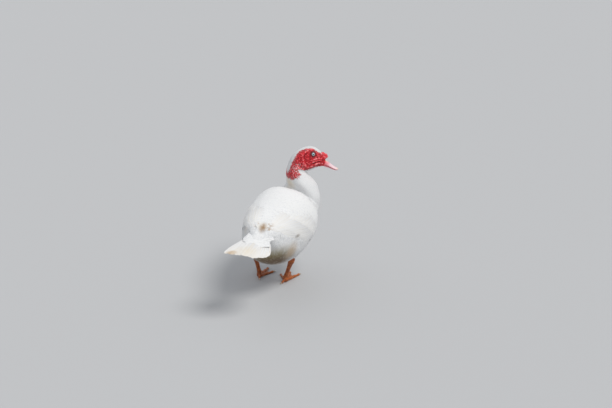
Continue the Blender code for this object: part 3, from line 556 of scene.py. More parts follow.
def feather_template(rows):
    """Places (across, along, side) of one closed small feather, its faces, and which of
    them are under it."""
    places = [(0, 0, 0)]
    for along, share in rows:
        places += [(-share, along, 0), (0, along, 1), (share, along, 0)]
    places.append((0, 1, 0))
    tip = len(places) - 1
    last = tip - 3
    faces, under = [], []
    for k in range(3):
        following = (k + 1) % 3
        for a, b in ((1 + 3 * r + k, 1 + 3 * r + following) for r in range(len(rows) - 1)):
            faces += [(a, a + 3, b + 3), (a, b + 3, b)]
        faces += [(0, 1 + k, 1 + following), (tip, last + following, last + k)]
        under += [k == 2] * (2 * len(rows))
    return np.array(places, float), np.array(faces), np.array(under)


def param_steps(along, around, vector):
    """The steps in the two coordinates that move a surface point by the tangent vector."""
    aa, ab, bb = dot(along, along), dot(along, around), dot(around, around)
    va, vb = dot(vector, along), dot(vector, around)
    spread = aa * bb - ab * ab
    return ((va * bb - vb * ab) / spread)[:, None], ((vb * aa - va * ab) / spread)[:, None]


def small_feathers(name, frame_at, u, v, size, uv_at, rows, rng, sway=9.0):
    """Closed small feathers rooted at (u, v) of a surface. size holds their length, half
    width, lift of the tip and sink of the root. They lie towards smaller u."""
    length, half, lift, sink = (numbers[:, None] for numbers in size)
    places, faces, under = feather_template(rows)
    across, share, side = places.T
    _, along, around, normal = frame_at(u, v)
    angle = np.radians(rng.normal(0, sway, len(u)))[:, None]
    heading = -unit(along)
    over = np.cross(normal, heading)
    sine, cosine = np.sin(angle), np.cos(angle)
    heading, over = heading * cosine + over * sine, over * cosine - heading * sine
    ahead = share * length
    beside = across * half + rng.normal(0, FEATHER_BEND, len(u))[:, None] * ahead * share
    (du, dv), (eu, ev) = (param_steps(along, around, way) for way in (heading, over))
    place_u = u[:, None] + du * ahead + eu * beside
    place_v = v[:, None] + dv * ahead + ev * beside
    foot, _, _, up = frame_at(place_u, place_v)
    # Edges and tips bend down on to the feathers below them, so no gap shows under them.
    bent = FEATHER_EDGE_DROP * (1 - side) * smooth(0.1, 0.5, share)
    bent = np.where(share == 1, FEATHER_TIP_DROP, bent) * np.abs(lift + sink)
    rise = (lift + sink) * share**0.8 - sink - bent + side * FEATHER_THICKNESS
    # A feather is so thin that its rim shades as its face does.
    slant = across[:, None] * over[:, None] + (share - 0.5)[:, None] * heading[:, None]
    patch = stacked(across, share) * FEATHER_BAKE_PATCH
    return add_object(
        name, (foot + up * rise[..., None]).reshape(-1, 3), repeated(faces, len(u), len(places)),
        (uv_at(u, v)[:, None] + patch).reshape(-1, 2),
        {"tone": np.repeat(rng.random(len(u)), len(places))},
        np.tile(stacked(across * 0.5 + 0.5, share), (len(u), 1)),
        up + FEATHER_ROUNDING * slant, np.tile(under, len(u)),
    )


# Rows of a large vane: how far along it is, and its share of the half width
VANE_PROFILE = (
    (0.00, 0.30), (0.08, 0.62), (0.20, 0.88), (0.40, 1.00), (0.62, 1.00),
    (0.78, 0.93), (0.88, 0.78), (0.94, 0.60), (0.98, 0.36), (1.00, 0.10),
)
VANE_STEPS = 15
VANE_COLUMNS = 9
VANE_CROWDING_AT_TIP = 1.35
VANE_THICKNESS = 0.00036
VANE_THINNER_EDGE = 0.65
VANE_TIP_DROP = 0.0011
# How deep and how often the barbs of an edge part
VANE_PARTING = (0.10, 0.35)
SHAFT_HEIGHT = 0.00045
SHAFT_WIDTH = 0.14
RIPPLE_HEIGHT = 0.00012
RIPPLE_SPEED = 2600


def large_vane(frame_at, root, tip, half, heights, tilt, rng, curl=0.0, camber=0.10):
    """Vertices, vane coordinates and normals of one large closed feather."""
    y = 1 - (1 - np.linspace(0, 1, VANE_STEPS)) ** VANE_CROWDING_AT_TIP
    x = np.linspace(-1, 1, VANE_COLUMNS)
    u = mix(root[0], tip[0], y)
    v = mix(root[1], tip[1], y) + curl * np.sin(math.pi * y)
    middle, along, around, normal = frame_at(u, v)
    du, dv = param_steps(along, around, np.cross(normal, unit(np.gradient(middle, axis=0))))
    width = (read(VANE_PROFILE, y) * half)[:, None]
    deep, often = VANE_PARTING
    edges = 1 - deep * rng.random((VANE_STEPS, 2)) * (rng.random((VANE_STEPS, 2)) < often)
    reach = x * width * np.where(x < 0, edges[:, :1], edges[:, 1:])
    foot, _, _, up = frame_at(u[:, None] + du * reach, v[:, None] + dv * reach)
    y = y[:, None]
    rise = mix(*heights, y**0.7) - VANE_TIP_DROP * smooth(0.85, 1.0, y)
    rise = rise + reach * math.tan(math.radians(tilt)) - camber * x**2 * width
    rise = rise + RIPPLE_HEIGHT * np.sin(reach * RIPPLE_SPEED + y * 9 + rng.random() * 6)
    shaft = SHAFT_HEIGHT * bell(x / SHAFT_WIDTH) * (1 - 0.6 * y)
    thick = VANE_THICKNESS * (1 - VANE_THINNER_EDGE * x**2) / 2
    top = foot + up * (rise + thick + shaft)[..., None]
    under = foot + up * (rise - thick)[..., None]
    facing = np.cross(np.gradient(top, axis=0), np.gradient(top, axis=1)).reshape(-1, 3)
    flat = stacked(x * 0.5 + 0.5, y).reshape(-1, 2)
    pairs = ((top.reshape(-1, 3), under.reshape(-1, 3)), (flat, flat), (facing, -facing))
    return [np.concatenate(pair) for pair in pairs]


def blade_faces():
    """Quads of a closed sheet: a grid, the same grid below it turned over, and the rim."""
    rows, columns = VANE_STEPS, VANE_COLUMNS
    top = grid_faces(rows, columns, closed=False)
    below = rows * columns
    numbers = np.arange(below).reshape(rows, columns)
    unshaded = np.concatenate([numbers[0], numbers[1:, -1], numbers[-1, -2::-1], numbers[-2:0:-1, 0]])
    following = np.roll(unshaded, -1)
    sides = np.stack([unshaded, unshaded + below, following + below, following], -1)
    return np.concatenate([top[:, ::-1], top + below, sides[:, ::-1]])


def joined_vanes(name, vanes):
    """One object of many large vanes. Each has its own cell of the bake map."""
    cells = math.ceil(math.sqrt(len(vanes)))
    vertices, vane, normals = (np.concatenate(column) for column in zip(*vanes))
    bake = [
        (flat * 0.92 + 0.04 + (k % cells, k // cells)) / cells for k, (_, flat, _) in enumerate(vanes)
    ]
    size = len(vanes[0][0])
    tone = np.repeat(np.random.default_rng(len(vanes)).random(len(vanes)), size)
    faces = repeated(blade_faces(), len(vanes), size)
    return add_object(name, vertices, faces, np.concatenate(bake), {"tone": tone}, vane, normals)


# Tiers of large feathers on one wing, from the first vane to the last: how many, root
# (s, q), tip (s, q), half width, depths under the plumage's outer form at root and tip,
# of the first and the last, and how many degrees the lower edge is tilted out
WING_TIERS = {
    "primaries": (
        8, (0.52, 0.90), (0.58, 0.56), (0.86, 0.84), (1.01, 0.28), (0.0075, 0.0085),
        (0.0026, 0.0018), (0.0030, 0.0013), 1.6,
    ),
    "secondaries": (
        13, (0.20, 0.95), (0.48, 0.50), (0.55, 0.985), (0.90, 0.52), (0.0100, 0.0120),
        (0.0024, 0.0014), (0.0026, 0.0008), 1.8,
    ),
    "tertials": (
        8, (0.46, 0.50), (0.36, 0.03), (0.85, 0.50), (0.98, 0.08), (0.0130, 0.0145),
        (0.0024, 0.0008), (0.0028, 0.0004), 1.8,
    ),
    "greater_coverts": (
        14, (0.12, 0.93), (0.42, 0.30), (0.36, 0.965), (0.70, 0.36), (0.0092, 0.0120),
        (0.0020, 0.0006), (0.0022, 0.0002), 1.6,
    ),
}


def wing_feathers(side):
    sign = SIDES[side]
    rng = np.random.default_rng(SEED + (sign > 0))
    frame_at = wing_frame(sign)
    vanes = []
    for count, root_a, root_b, tip_a, tip_b, halves, first, last, tilt in WING_TIERS.values():
        for share in np.arange(count) / (count - 1):
            pairs = ((root_a, root_b), (tip_a, tip_b), (first, last), halves)
            root, tip, depths, half = (mix(*map(np.array, pair), share) for pair in pairs)
            tip = tip + rng.normal(0, 0.005, 2)
            half = half * (1 + rng.normal(0, 0.03))
            vanes.append(large_vane(frame_at, root, tip, half, -depths, -tilt * sign, rng))
    return joined_vanes(f"wing_feathers_{side}", vanes)


# Tail fan's long feathers, and the coverts over and under their roots
RECTRIX_PAIRS = 8
RECTRIX_SPREAD = 13.5
RECTRIX_ROOT = 0.118
RECTRIX_REACH_LEFT = (0.257, 0.252)
RECTRIX_REACH_RIGHT = (0.256, 0.206)
RECTRIX_HALF_WIDTH = 0.0132
RECTRIX_STEP_DOWN = 0.0008
RECTRIX_TILT = 1.5
RECTRIX_CAMBER = 0.06
TAIL_COVERTS = 380
TAIL_COVERT_ROOTS = (0.058, 0.136)
TAIL_COVERT_SPREAD = (11.0, 10.0)
TAIL_COVERT_LENGTHS = (0.034, 0.044)
TAIL_COVERT_SLIMNESS = 0.21
TAIL_COVERT_HEIGHTS = (0.0105, 0.0016)
TAIL_COVERT_BOW = 0.022


def tail_feathers():
    rng = np.random.default_rng(SEED + 5)
    vanes = []
    for pair in range(RECTRIX_PAIRS):
        share = (pair + 0.5) / RECTRIX_PAIRS
        for sign, reach in ((1, RECTRIX_REACH_LEFT), (-1, RECTRIX_REACH_RIGHT)):
            height = -RECTRIX_STEP_DOWN * (pair + (0.5 if sign < 0 else 0))
            degrees = sign * RECTRIX_SPREAD * share
            root = (RECTRIX_ROOT, degrees * 0.85)
            tip = (mix(*reach, share**2) + rng.normal(0, 0.0018), degrees + rng.normal(0, 0.3))
            curl = rng.normal(0, 0.25)
            vanes.append(large_vane(
                tail_frame, root, tip, RECTRIX_HALF_WIDTH, (height, height), -RECTRIX_TILT * sign,
                rng, curl, RECTRIX_CAMBER,
            ))
    return joined_vanes("tail_feathers", vanes)


def tail_coverts():
    """The soft feathers that run from the rump over the roots of the tail fan."""
    rng = np.random.default_rng(SEED + 6)
    order = np.arange(TAIL_COVERTS)
    share = (order + 0.5) / TAIL_COVERTS
    across = 2 * ((order * 0.6180339887) % 1.0) - 1
    reach = mix(*TAIL_COVERT_ROOTS, share) - TAIL_COVERT_BOW * across**2
    length = mix(*TAIL_COVERT_LENGTHS, share) * rng.uniform(0.9, 1.1, TAIL_COVERTS)
    start = mix(*TAIL_COVERT_HEIGHTS, share)
    size = (length, length * TAIL_COVERT_SLIMNESS, start - length * 0.06, -start)
    return small_feathers(
        "tail_coverts", swapped_tail_frame, -reach, across * mix(*TAIL_COVERT_SPREAD, share), size,
        lambda u, v: stacked(0.5 + v / 40, 0.02 + (-u - 0.05) * 0.2), COVERT_ROWS, rng, 4.0,
    )


def feather_size(at, degrees, rng):
    s, q = wing_share(at, degrees)
    on_wing = smooth(0.0, 0.25, s) * (1 - smooth(0.85, 1.05, s)) * (1 - smooth(0.7, 1.0, q))
    length = read(FEATHER_LENGTH, at) * (1 + SCAPULAR_GROWTH * on_wing)
    # The feathers that come out from under the wing's lower edge lie flatter.
    beside = smooth(0.20, 0.32, s) * (1 - smooth(1.0, 1.1, s))
    flat = beside * (1 - smooth(-0.04, 0.14, q - vanes_lowest(s))) * smooth(0.3, 0.6, q)
    lift = read(COAT_DEPTH, at) * rng.uniform(0.93, 1.07, len(at)) * (1 - FLATTER_BY_THE_WING * flat)
    length = length * rng.uniform(0.88, 1.12, len(at))
    half = length * read(FEATHER_SLIMNESS, at) * rng.uniform(0.92, 1.08, len(at))
    return length, half, lift, length * FEATHER_SINK_SHARE


def coat_density(at, degrees):
    """Small feathers a square metre, fewer where large ones cover them."""
    spacing = read(FEATHER_LENGTH, at) * FEATHER_SPACING_SHARE
    slim = read(FEATHER_SLIMNESS, at) / FEATHER_SLIMNESS[0][1]
    return (1 - vanes_bare(at, degrees)) / (spacing * spacing * slim)


def coat_piece(name, at, degrees, rows, rng, sway=9.0):
    size = feather_size(at, degrees, rng)
    return small_feathers(name, skin_frame, at, degrees, size, unwrap, rows, rng, sway)


def body_coat():
    """The small feathers from the tail root to the neck, in several pieces."""
    rng = np.random.default_rng(SEED + 20)
    at, degrees = scatter(-0.85, 8.6, coat_density, 5)
    for name, low, high, rows in (
        ("coat_back", 0, 62, ROUND_ROWS),
        ("coat_flanks", 62, 122, ROUND_ROWS),
        ("coat_belly", 122, 360, FEATHER_ROWS),
    ):
        chosen = (np.abs(degrees) >= low) & (np.abs(degrees) < high)
        yield coat_piece(name, at[chosen], degrees[chosen], rows, rng)


def head_coat():
    """The finer feathers of the neck and the white hair-like ones of the crown."""
    rng = np.random.default_rng(SEED + 40)
    for name, first, last, rows in (
        ("coat_neck", 8.3, 11.6, FEATHER_ROWS[1:]),
        ("coat_crown", 11.2, 15.9, HAIR_ROWS),
    ):
        at, degrees = scatter(first, last, coat_density, 9)
        bare = bareness(at, degrees, body_points(at, degrees))
        # White feathers also stand singly among the red pebbles of the neck.
        strays = 0.50 * np.exp(-np.maximum(signed_face_distance(at, degrees), 0) / 0.0050)
        strays = strays * (1 - smooth(11.4, 12.2, at))
        chosen = rng.random(len(at)) > bare * (1.02 - strays)
        yield coat_piece(name, at[chosen], degrees[chosen], rows, rng, 11.0)


# Eyes: where they are, and the opening between the lids
EYE_AT = (14.05, 69.0)
EYE_RADIUS = 0.0070
EYE_SINK = 0.0042
CORNEA_BULGE = 0.05
LID_RADIUS = 0.0035
# The lid's ridge and the groove round it: height, how far outside the opening, half width
LID_RINGS = ((0.0013, 0.0012, 0.0011), (-0.0007, 0.0036, 0.0009))
SOCKET_DEPTH = 0.0060

# The head's folds, most of them ridges and the last two creases. Each has the sections
# and the degrees at which it starts, bends and ends, its height, half width and beads.
FOLDS = (
    ((12.7, 14.1, 15.9), (58, 38, 44), 0.0016, 0.0028, 5),
    ((13.4, 14.6, 15.7), (96, 95, 80), 0.0016, 0.0020, 3),
    ((13.0, 14.5, 15.9), (104, 106, 92), 0.0014, 0.0016, 4),
    ((12.6, 14.4, 16.3), (120, 122, 104), 0.0024, 0.0026, 4),
    ((12.9, 12.3, 12.4), (66, 92, 126), 0.0016, 0.0030, 4),
    ((11.7, 11.25, 11.5), (66, 86, 112), 0.0014, 0.0026, 3),
    ((13.2, 14.6, 16.2), (112, 114, 99), -0.0018, 0.0016, 1),
    ((12.6, 13.0, 13.8), (84, 60, 48), -0.0010, 0.0016, 1),
)
PEBBLE_SPACING = 0.0025
PEBBLE_RIM = 0.0013
PEBBLE_HEIGHT = 0.00085
WRINKLE_HEIGHT = 0.0011
WRINKLES = ((0.6, 210, 5.0), (0.4, 520, 9.0))
# The skin's mesh: the section from which it has relief, the one from which its rows lie
# closer, the rows before and after that, the points of a row, and the distances from an
# eye's centre over which pebbles and wrinkles set in
RELIEF_FROM = 8.8
FINE_FROM = 9.0
BODY_ROWS = 76
HEAD_ROWS = 240
SKIN_COLUMNS = 248
CALM_ROUND_EYE = (0.0075, 0.0125)

# Bulbs over the bill root: middle (ahead, left, up) from the neck axis, and radii
KNOB_LOBES = (
    ((0.0838, 0.0040, 0.3380), (0.0078, 0.0056, 0.0072)),
    ((0.0838, -0.0040, 0.3380), (0.0078, 0.0056, 0.0072)),
    ((0.0752, 0.0000, 0.3452), (0.0078, 0.0075, 0.0050)),
    ((0.0800, 0.0085, 0.3345), (0.0052, 0.0036, 0.0050)),
    ((0.0800, -0.0085, 0.3345), (0.0052, 0.0036, 0.0050)),
)


def eye_place(sign):
    """The centre of the eyeball and the way that it looks."""
    point, _, _, normal = body_frame(EYE_AT[0], EYE_AT[1] * sign)
    return point - normal * EYE_SINK, normal


def face_relief(points):
    """How far the folds, lids and creases stand out of the bare skin."""
    height = np.zeros(points.shape[:-1])
    steps = np.linspace(0, 1, 13)
    ahead, _, upwards = head_axes()
    for sign in SIDES.values():
        for sections, degrees, tall, wide, beads in FOLDS:
            path = body_points(three_point(sections, steps), sign * three_point(degrees, steps))
            away, along = distance_to_path(points, path)
            swell = 1 - 0.30 * np.cos(2 * math.pi * beads * along)
            ends = smooth(0, 0.12, along) * (1 - smooth(0.9, 1, along))
            height += tall * swell * (0.35 + 0.65 * ends) * bell(away / wide)
    for sign in SIDES.values():
        centre, look = eye_place(sign)
        away = points - centre - look * math.sqrt(EYE_RADIUS**2 - LID_RADIUS**2)
        level = dot(away, look)
        # The opening between the lids is a little longer than high.
        flat = away - level[..., None] * look
        off = np.hypot(dot(flat, ahead) * 0.92, dot(flat, upwards) * 1.10)
        lids = sum(tall * bell((off - LID_RADIUS - out) / wide) for tall, out, wide in LID_RINGS)
        lids -= SOCKET_DEPTH * (1 - smooth(LID_RADIUS - 0.0008, LID_RADIUS + 0.0002, off))
        near = (np.abs(level) < 0.02) & (off < 0.012)
        height = np.where(near, height * smooth(0.004, 0.009, off) + lids, height)
    return height


def pebbles(points, bare):
    """Small rounded caruncles over the bare skin: a height from 0 to 1 at each point."""
    places = scatter(9.2, 17.0, lambda at, _: np.full(at.shape, 1 / PEBBLE_SPACING**2), 31)
    seeds = body_points(*places)
    rng = np.random.default_rng(SEED + 60)
    seeds = seeds + rng.normal(0, 0.0005, seeds.shape)
    size = rng.uniform(0.45, 1.0, len(seeds))
    found = np.zeros(len(points))
    chosen = bare > 0.02
    nearest, inside = cells_of(seeds, points[chosen], PEBBLE_RIM)
    found[chosen] = size[nearest] * inside**0.6
    return found


def skin():
    """One skin over body, neck and head, with the bare face's relief in its mesh."""
    coarse = 1
    body_rows = np.linspace(-1, FINE_FROM, BODY_ROWS // coarse, endpoint=False)
    rows = np.append(body_rows, np.linspace(FINE_FROM, LAST_SECTION, HEAD_ROWS // coarse))
    columns = SKIN_COLUMNS // coarse
    at, degrees = np.meshgrid(rows, np.arange(columns) * 360 / columns - 180, indexing="ij")
    points, _, _, normal = body_frame(np.maximum(at, 0), degrees)
    head = at > RELIEF_FROM

    def on_head(values):
        spread = np.zeros(at.shape)
        spread[head] = values
        return spread

    on_skin = points[head]
    bare = on_head(bareness(at[head], degrees[head], on_skin))
    relief = on_head(face_relief(on_skin))
    grain = on_head(pebbles(on_skin, bare[head]))
    wrinkle = on_head(coherent(on_skin, *WRINKLES))
    away = np.min([np.linalg.norm(points - eye_place(s)[0], axis=-1) for s in SIDES.values()], 0)
    calm = smooth(*CALM_ROUND_EYE, away)
    height = skin_height(np.maximum(at, 0), degrees, bare)
    height += bare * relief + bare * calm * (PEBBLE_HEIGHT * grain + WRINKLE_HEIGHT * wrinkle)
    vertices, faces = closed_rings(over_tail(at, points + normal * height[..., None]))
    # The bare skin's colour follows its height: lighter on pebbles and folds as painted highlight, darker
    # in creases and grooves as painted shade.
    tone = bare * (calm * (0.62 * grain + 0.55 * wrinkle + 0.10) + relief / 0.005)
    inside = np.clip(signed_face_distance(at, degrees) / 0.02, 0, 1)
    values = {"bare": bare, "relief": tone, "inside": inside}
    values = {key: np.append(numbers, (0, 0)) for key, numbers in values.items()}
    bake = np.concatenate([unwrap(at, degrees).reshape(-1, 2), [(0.5, 0.0), (0.5, 0.99)]])
    return add_object("skin", vertices, faces[:, ::-1], bake, values)


def lump(centre, axes, radii, seed, levels=4, rough=0.16):
    """Vertices and triangles of a closed uneven bulb of flesh, and its swell at each."""
    shape, faces = ball(bmesh.ops.create_icosphere, subdivisions=levels)
    swell = 1 + rough * coherent(shape, (1.0, 1.6, seed), (0.35, 5.0, seed))
    return centre + (shape * swell[:, None] * radii) @ np.array(axes), faces, swell


def knob():
    """The bulbs over the bill root, which are part of the skin's piece."""
    parts, painted_swell_shading = [], []
    for k, (at, radii) in enumerate(KNOB_LOBES):
        *part, swell = lump(head_point(*at), head_axes(), radii, 20.0 + k)
        parts.append(part)
        # The knob's own pink, lighter on its bulges as painted highlight and darker in its dents as
        # painted shade
        painted_swell_shading.append(0.70 + 1.8 * (swell - 1))
    vertices, faces = merged(parts)
    count = len(vertices)
    bake = (0.5, 0.97) + np.random.default_rng(2).random((count, 2)) * 0.01
    values = {"bare": np.ones(count), "relief": np.concatenate(painted_swell_shading), "inside": np.ones(count)}
    return add_object("knob", vertices, faces, bake, values)


def join_into(target, *others):
    """Joins other objects' meshes into the target's."""
    everything = [target, *others]
    with bpy.context.temp_override(
        active_object=target, selected_editable_objects=everything, selected_objects=everything
    ):
        bpy.ops.object.join()
    return target


def eyeball(side):
    """A smooth eyeball whose iris and pupil are told by how far they are off its axis."""
    centre, look = eye_place(SIDES[side])
    shape, faces = ball(bmesh.ops.create_uvsphere, u_segments=48, v_segments=36)
    off = np.hypot(shape[:, 0], shape[:, 1])
    off = np.where(shape[:, 2] > 0, off, 2 - off)
    # The clear cornea stands a little out of the ball.
    bulge = 1 + CORNEA_BULGE * bell(off / 0.5)
    turn = np.array(Vector((0, 0, 1)).rotation_difference(Vector(look)).to_matrix())
    points = centre + (shape * bulge[:, None] * EYE_RADIUS) @ turn.T
    return add_object(f"eyeball_{side}", points, faces, values={"off_axis": off})


# Bill, along the head's own forward axis: its lines as (ahead, up), from root to tip
BILL_TOP = ((0.0850, 0.3255), (0.0945, 0.3195), (0.1045, 0.3115), (0.1142, 0.3040), (0.1232, 0.2985))
BILL_MOUTH = ((0.0785, 0.3135), (0.0890, 0.3090), (0.1002, 0.3032), (0.1110, 0.2982), (0.1218, 0.2945))
BILL_CHIN = ((0.0775, 0.3080), (0.0877, 0.3033), (0.0985, 0.2987), (0.1082, 0.2950), (0.1168, 0.2930))
BILL_HALF_WIDTHS = (0.0122, 0.0116, 0.0112, 0.0116, 0.0100)
BILL_LOWER_NARROWER = 0.91
BILL_STEPS = 90
BILL_ARC = 56
BILL_FLAT = 14
BILL_ROOT_INSIDE = -0.10
BILL_TIP_FROM = 0.72
MOUTH_GAP = 0.00025
# Nostril: its middle and half size, as shares along the bill and across it, and its depth
NOSTRIL_AT = (0.27, 0.40)
NOSTRIL_SIZE = (0.050, 0.13)
NOSTRIL_DEPTH = 0.0030
NAIL_FROM = 0.86
NAIL_HEIGHT = 0.0006
LIP_PLATES = 260


def mandible(name, upper):
    """Half of the bill as a smooth shell with a flat face on the mouth line. The upper
    half has nostrils, a row of fine plates along its edge and the nail at its tip."""
    far_line = BILL_TOP if upper else BILL_CHIN
    rows = np.array([(*far, *mouth, w) for far, mouth, w in zip(far_line, BILL_MOUTH, BILL_HALF_WIDTHS)])
    spans = len(rows) - 1
    share = np.linspace(BILL_ROOT_INSIDE, 1, BILL_STEPS)[:, None]
    inside = np.clip(share, 0, 1)
    near_root = curve_through(rows, np.array([0.0, 0.02]))
    slope = (near_root[1] - near_root[0]) / 0.02 * spans
    values = curve_through(rows, inside[:, 0] * spans) + (share - inside) * slope
    far_ahead, far_high, ahead, high, width = values.T[..., None]
    tip = np.maximum(0, (share - BILL_TIP_FROM) / (1 - BILL_TIP_FROM))
    width = width * np.sqrt(np.maximum(0.10, 1 - tip**2)) * (1.0 if upper else BILL_LOWER_NARROWER)
    high = high + (MOUTH_GAP if upper else -MOUTH_GAP)
    turn = np.linspace(0, math.pi, BILL_ARC)
    rise = np.sin(turn) ** 0.8
    arc_high = mix(high, far_high, rise)
    arc_left = width * np.cos(turn)
    pit = np.zeros(arc_left.shape)
    if upper:
        side = np.abs(np.cos(turn))
        off = [(at - middle) / wide for at, middle, wide in zip((share, side), NOSTRIL_AT, NOSTRIL_SIZE)]
        pit = bell(off[0]) * bell(off[1])
        nail = smooth(NAIL_FROM - 0.02, NAIL_FROM + 0.02, share) * (1 - smooth(0.45, 0.62, side))
        arc_high = arc_high - NOSTRIL_DEPTH * pit**1.5 + NAIL_HEIGHT * nail
        lip = smooth(0.90, 0.97, side) * (share > 0.12)
        arc_left = arc_left * (1 + 0.05 * (1 - rise) * smooth(0.35, 0.75, share))
        arc_left = arc_left * (1 + 0.014 * lip * np.sin(share * LIP_PLATES))
    arc = head_point(mix(ahead, far_ahead, rise), arc_left, arc_high)
    # The flat inner face closes each ring.
    inner = head_point(ahead, width * np.cos(np.linspace(math.pi, 0, BILL_FLAT)[1:-1]), high)
    vertices, faces = closed_rings(np.concatenate([arc, inner], 1))

    def spread(values, fill):
        """The arc's values, the fill on the inner face, and the two end points' values."""
        values = np.broadcast_to(values, arc_left.shape)
        whole = np.concatenate([values, np.full(inner.shape[:2], fill)], 1)
        return np.append(whole, (values[0, 0], values[-1, 0]))

    values = {"along": spread(share, 0.5), "edge": spread(rise, 0.0), "pit": spread(pit, 0.0)}
    across = np.linspace(0, 1, len(vertices)) % 0.05 + values["edge"] * 0.8 + 0.1
    bake = stacked(values["along"] * 0.8 + 0.1, across)
    return add_object(name, vertices, faces if upper else faces[:, ::-1], bake, values)


# Legs and feet, as in the solids
HEELS = {"left": (0.010, 0.044), "right": (-0.010, -0.041)}
HOCKS = {"left": (-0.018, 0.049, 0.080), "right": (-0.036, -0.066, 0.078)}
ANKLE_HEIGHT = 0.016
THIGH_TOP = (0.012, 0.048, 0.122)
THIGH_RADII = (0.037, 0.0125)
THIGH_TAPER = 1.25
THIGH_STOP = 0.010
THIGH_UNDER_FEATHERS = 0.003
THIGH_STEPS = (0.02, 2.0)
THIGH_FEATHERS = 520
TARSUS_PLACES = (0.18, 0.45, 0.80, 1.0)
TARSUS_RADII = (0.0090, 0.0094, 0.0078, 0.0060, 0.0058, 0.0070)
# Front toes: length, turn outwards, radius and number of knuckles
TOES = {
    "inner": (0.056, -26.0, 0.0050, 2), "middle": (0.073, 0.0, 0.0056, 3),
    "outer": (0.068, 25.0, 0.0053, 3),
}
FOOT_TURN_IN = 4.0
HALLUX_LENGTH = 0.019
HALLUX_START = 0.004
HALLUX_TURN = 180.0 + math.degrees(math.atan(0.35))
HALLUX_RADIUS = 0.0042
HALLUX_HEIGHTS = (0.0085, 0.0040)
FOOT_PAD_HEIGHT = 0.0095
FOOT_PAD_RADII = (0.0086, 0.0086, 0.0094)
WEB_NOTCH = 0.80
WEB_THICKNESS = 0.0016
CLAW_LENGTH = 0.0115
CLAW_RADIUS = 0.0027
CLAW_ROOT = 0.002
FOOT_VOXEL = 0.00062
SCALE_RIM = 0.0010
SCALE_RELIEF = 0.00030
SCUTE_LENGTH = 0.0042
TOE_SCUTE_LENGTH = 0.0030


def leg_ends(side):
    """The top of the thigh and the hock."""
    return lean(THIGH_TOP[0], SIDES[side] * THIGH_TOP[1], THIGH_TOP[2]), place(*HOCKS[side])


def toe_way(side, toe):
    """The world unit vector that a toe points along."""
    turn = TOES[toe][1] if toe in TOES else HALLUX_TURN
    angle = math.radians((turn - FOOT_TURN_IN) * SIDES[side])
    return np.array((math.sin(angle), -math.cos(angle), 0.0))


def toe_line(side, toe, reach):
    """Ground points on a toe's line, at those distances from the heel."""
    return place(*HEELS[side], 0) + toe_way(side, toe) * np.asarray(reach)[..., None]


def circles(middle, side, front, radius, turn):
    """Points on circles about the middles, across the plane of side and front."""
    return middle + side * (radius * np.cos(turn))[..., None] + front * (radius * np.sin(turn))[..., None]


def tube(centres, radii, sides):
    """Vertices and triangles of a closed round tube through world points."""
    axis = unit(np.gradient(centres, axis=0))
    side = unit(np.cross(axis, (0.31, 0.12, 0.07)))
    front = np.cross(side, axis)
    turn = np.arange(sides) * 2 * math.pi / sides
    rings = circles(centres[:, None], side[:, None], front[:, None], radii[:, None], turn)
    vertices, faces = closed_rings(rings)
    return vertices, faces[:, ::-1]


def web(side):
    """The thin webs between the front toes, with a hollowed front edge."""
    heel = place(*HEELS[side], 0)
    tips = [toe_line(side, toe, length * 0.97) for toe, (length, *_) in TOES.items()]
    outline = [toe_line(side, "middle", -0.007)]
    for a, b in zip(tips, tips[1:]):
        for share in np.linspace(0, 1, 13)[:-1]:
            dip = 1 - (1 - WEB_NOTCH) * math.sin(math.pi * share)
            outline.append(heel + (mix(a, b, share) - heel) * dip)
    outline = np.array([*outline, tips[-1]])
    count = len(outline)
    rows = np.linspace(0.0, 1.0, 12)[:, None]
    centre = toe_line(side, "middle", 0.004)
    high = centre + (outline - centre) * rows[..., None]
    low = high * (1, 1, 0) + (0, 0, 0.0003)
    wave = 0.0003 * np.sin(np.linspace(0, 1, count) * 40) * rows
    high[..., 2] = WEB_THICKNESS + 0.0012 * (1 - rows) + wave + 0.0006
    top = grid_faces(len(rows), count)
    below = len(rows) * count
    ring = np.arange(count) + (len(rows) - 1) * count
    following = np.roll(ring, -1)
    sides = np.stack([ring, following, following + below, ring + below], -1)
    quads = np.concatenate([top, top[:, ::-1] + below, sides])
    return np.concatenate([high.reshape(-1, 3), low.reshape(-1, 3)]), split_quads(quads)


def leg_and_foot(side):
    """The bare shank and the webbed foot as one skin of scales."""
    top, hock = leg_ends(side)
    heel = place(*HEELS[side], 0)
    ankle = heel + (0, 0, ANKLE_HEIGHT)
    shank = [mix(hock, ankle, share) for share in TARSUS_PLACES]
    centres = np.array([hock + unit(top - hock) * THIGH_STOP * 1.8, hock, *shank])
    fine = np.linspace(0, len(centres) - 1, 60)
    thick = curve_through(np.array(TARSUS_RADII)[:, None], fine)[:, 0]
    parts = [tube(curve_through(centres, fine), thick, 20), web(side)]
    for toe, (length, _, radius, knuckles) in TOES.items():
        share = np.linspace(0, 1, 40)
        radii = radius * mix(1.0, 0.60, share) * (1 + 0.13 * np.cos(share * math.pi * 2 * knuckles))
        line = toe_line(side, toe, length * mix(0.02, 0.985, share))
        line[:, 2] += radii * 0.92 + 0.0002
        parts.append(tube(line, radii, 14))
    share = np.linspace(0, 1, 16)
    line = toe_line(side, "hallux", HALLUX_START + HALLUX_LENGTH * share)
    line[:, 2] += mix(*HALLUX_HEIGHTS, share)
    parts.append(tube(line, HALLUX_RADIUS * mix(1, 0.66, share) * (1 + 0.1 * np.cos(share * 9)), 12))
    pad = lump(heel + (0, 0, FOOT_PAD_HEIGHT), np.eye(3), FOOT_PAD_RADII, 3.0, 3, 0.05)
    thing = add_object(f"leg_{side}_scaled", *merged([*parts, pad[:2]]))
    remesh = thing.modifiers.new("one_skin", "REMESH")
    remesh.mode = "VOXEL"
    remesh.voxel_size = FOOT_VOXEL * 1
    thing.modifiers.new("even", "SMOOTH").iterations = 5
    graph = bpy.context.evaluated_depsgraph_get()
    made = bpy.data.meshes.new_from_object(thing.evaluated_get(graph))
    thing.modifiers.clear()
    thing.data = made
    scale_relief(made, side)
    made.shade_smooth()
    return thing


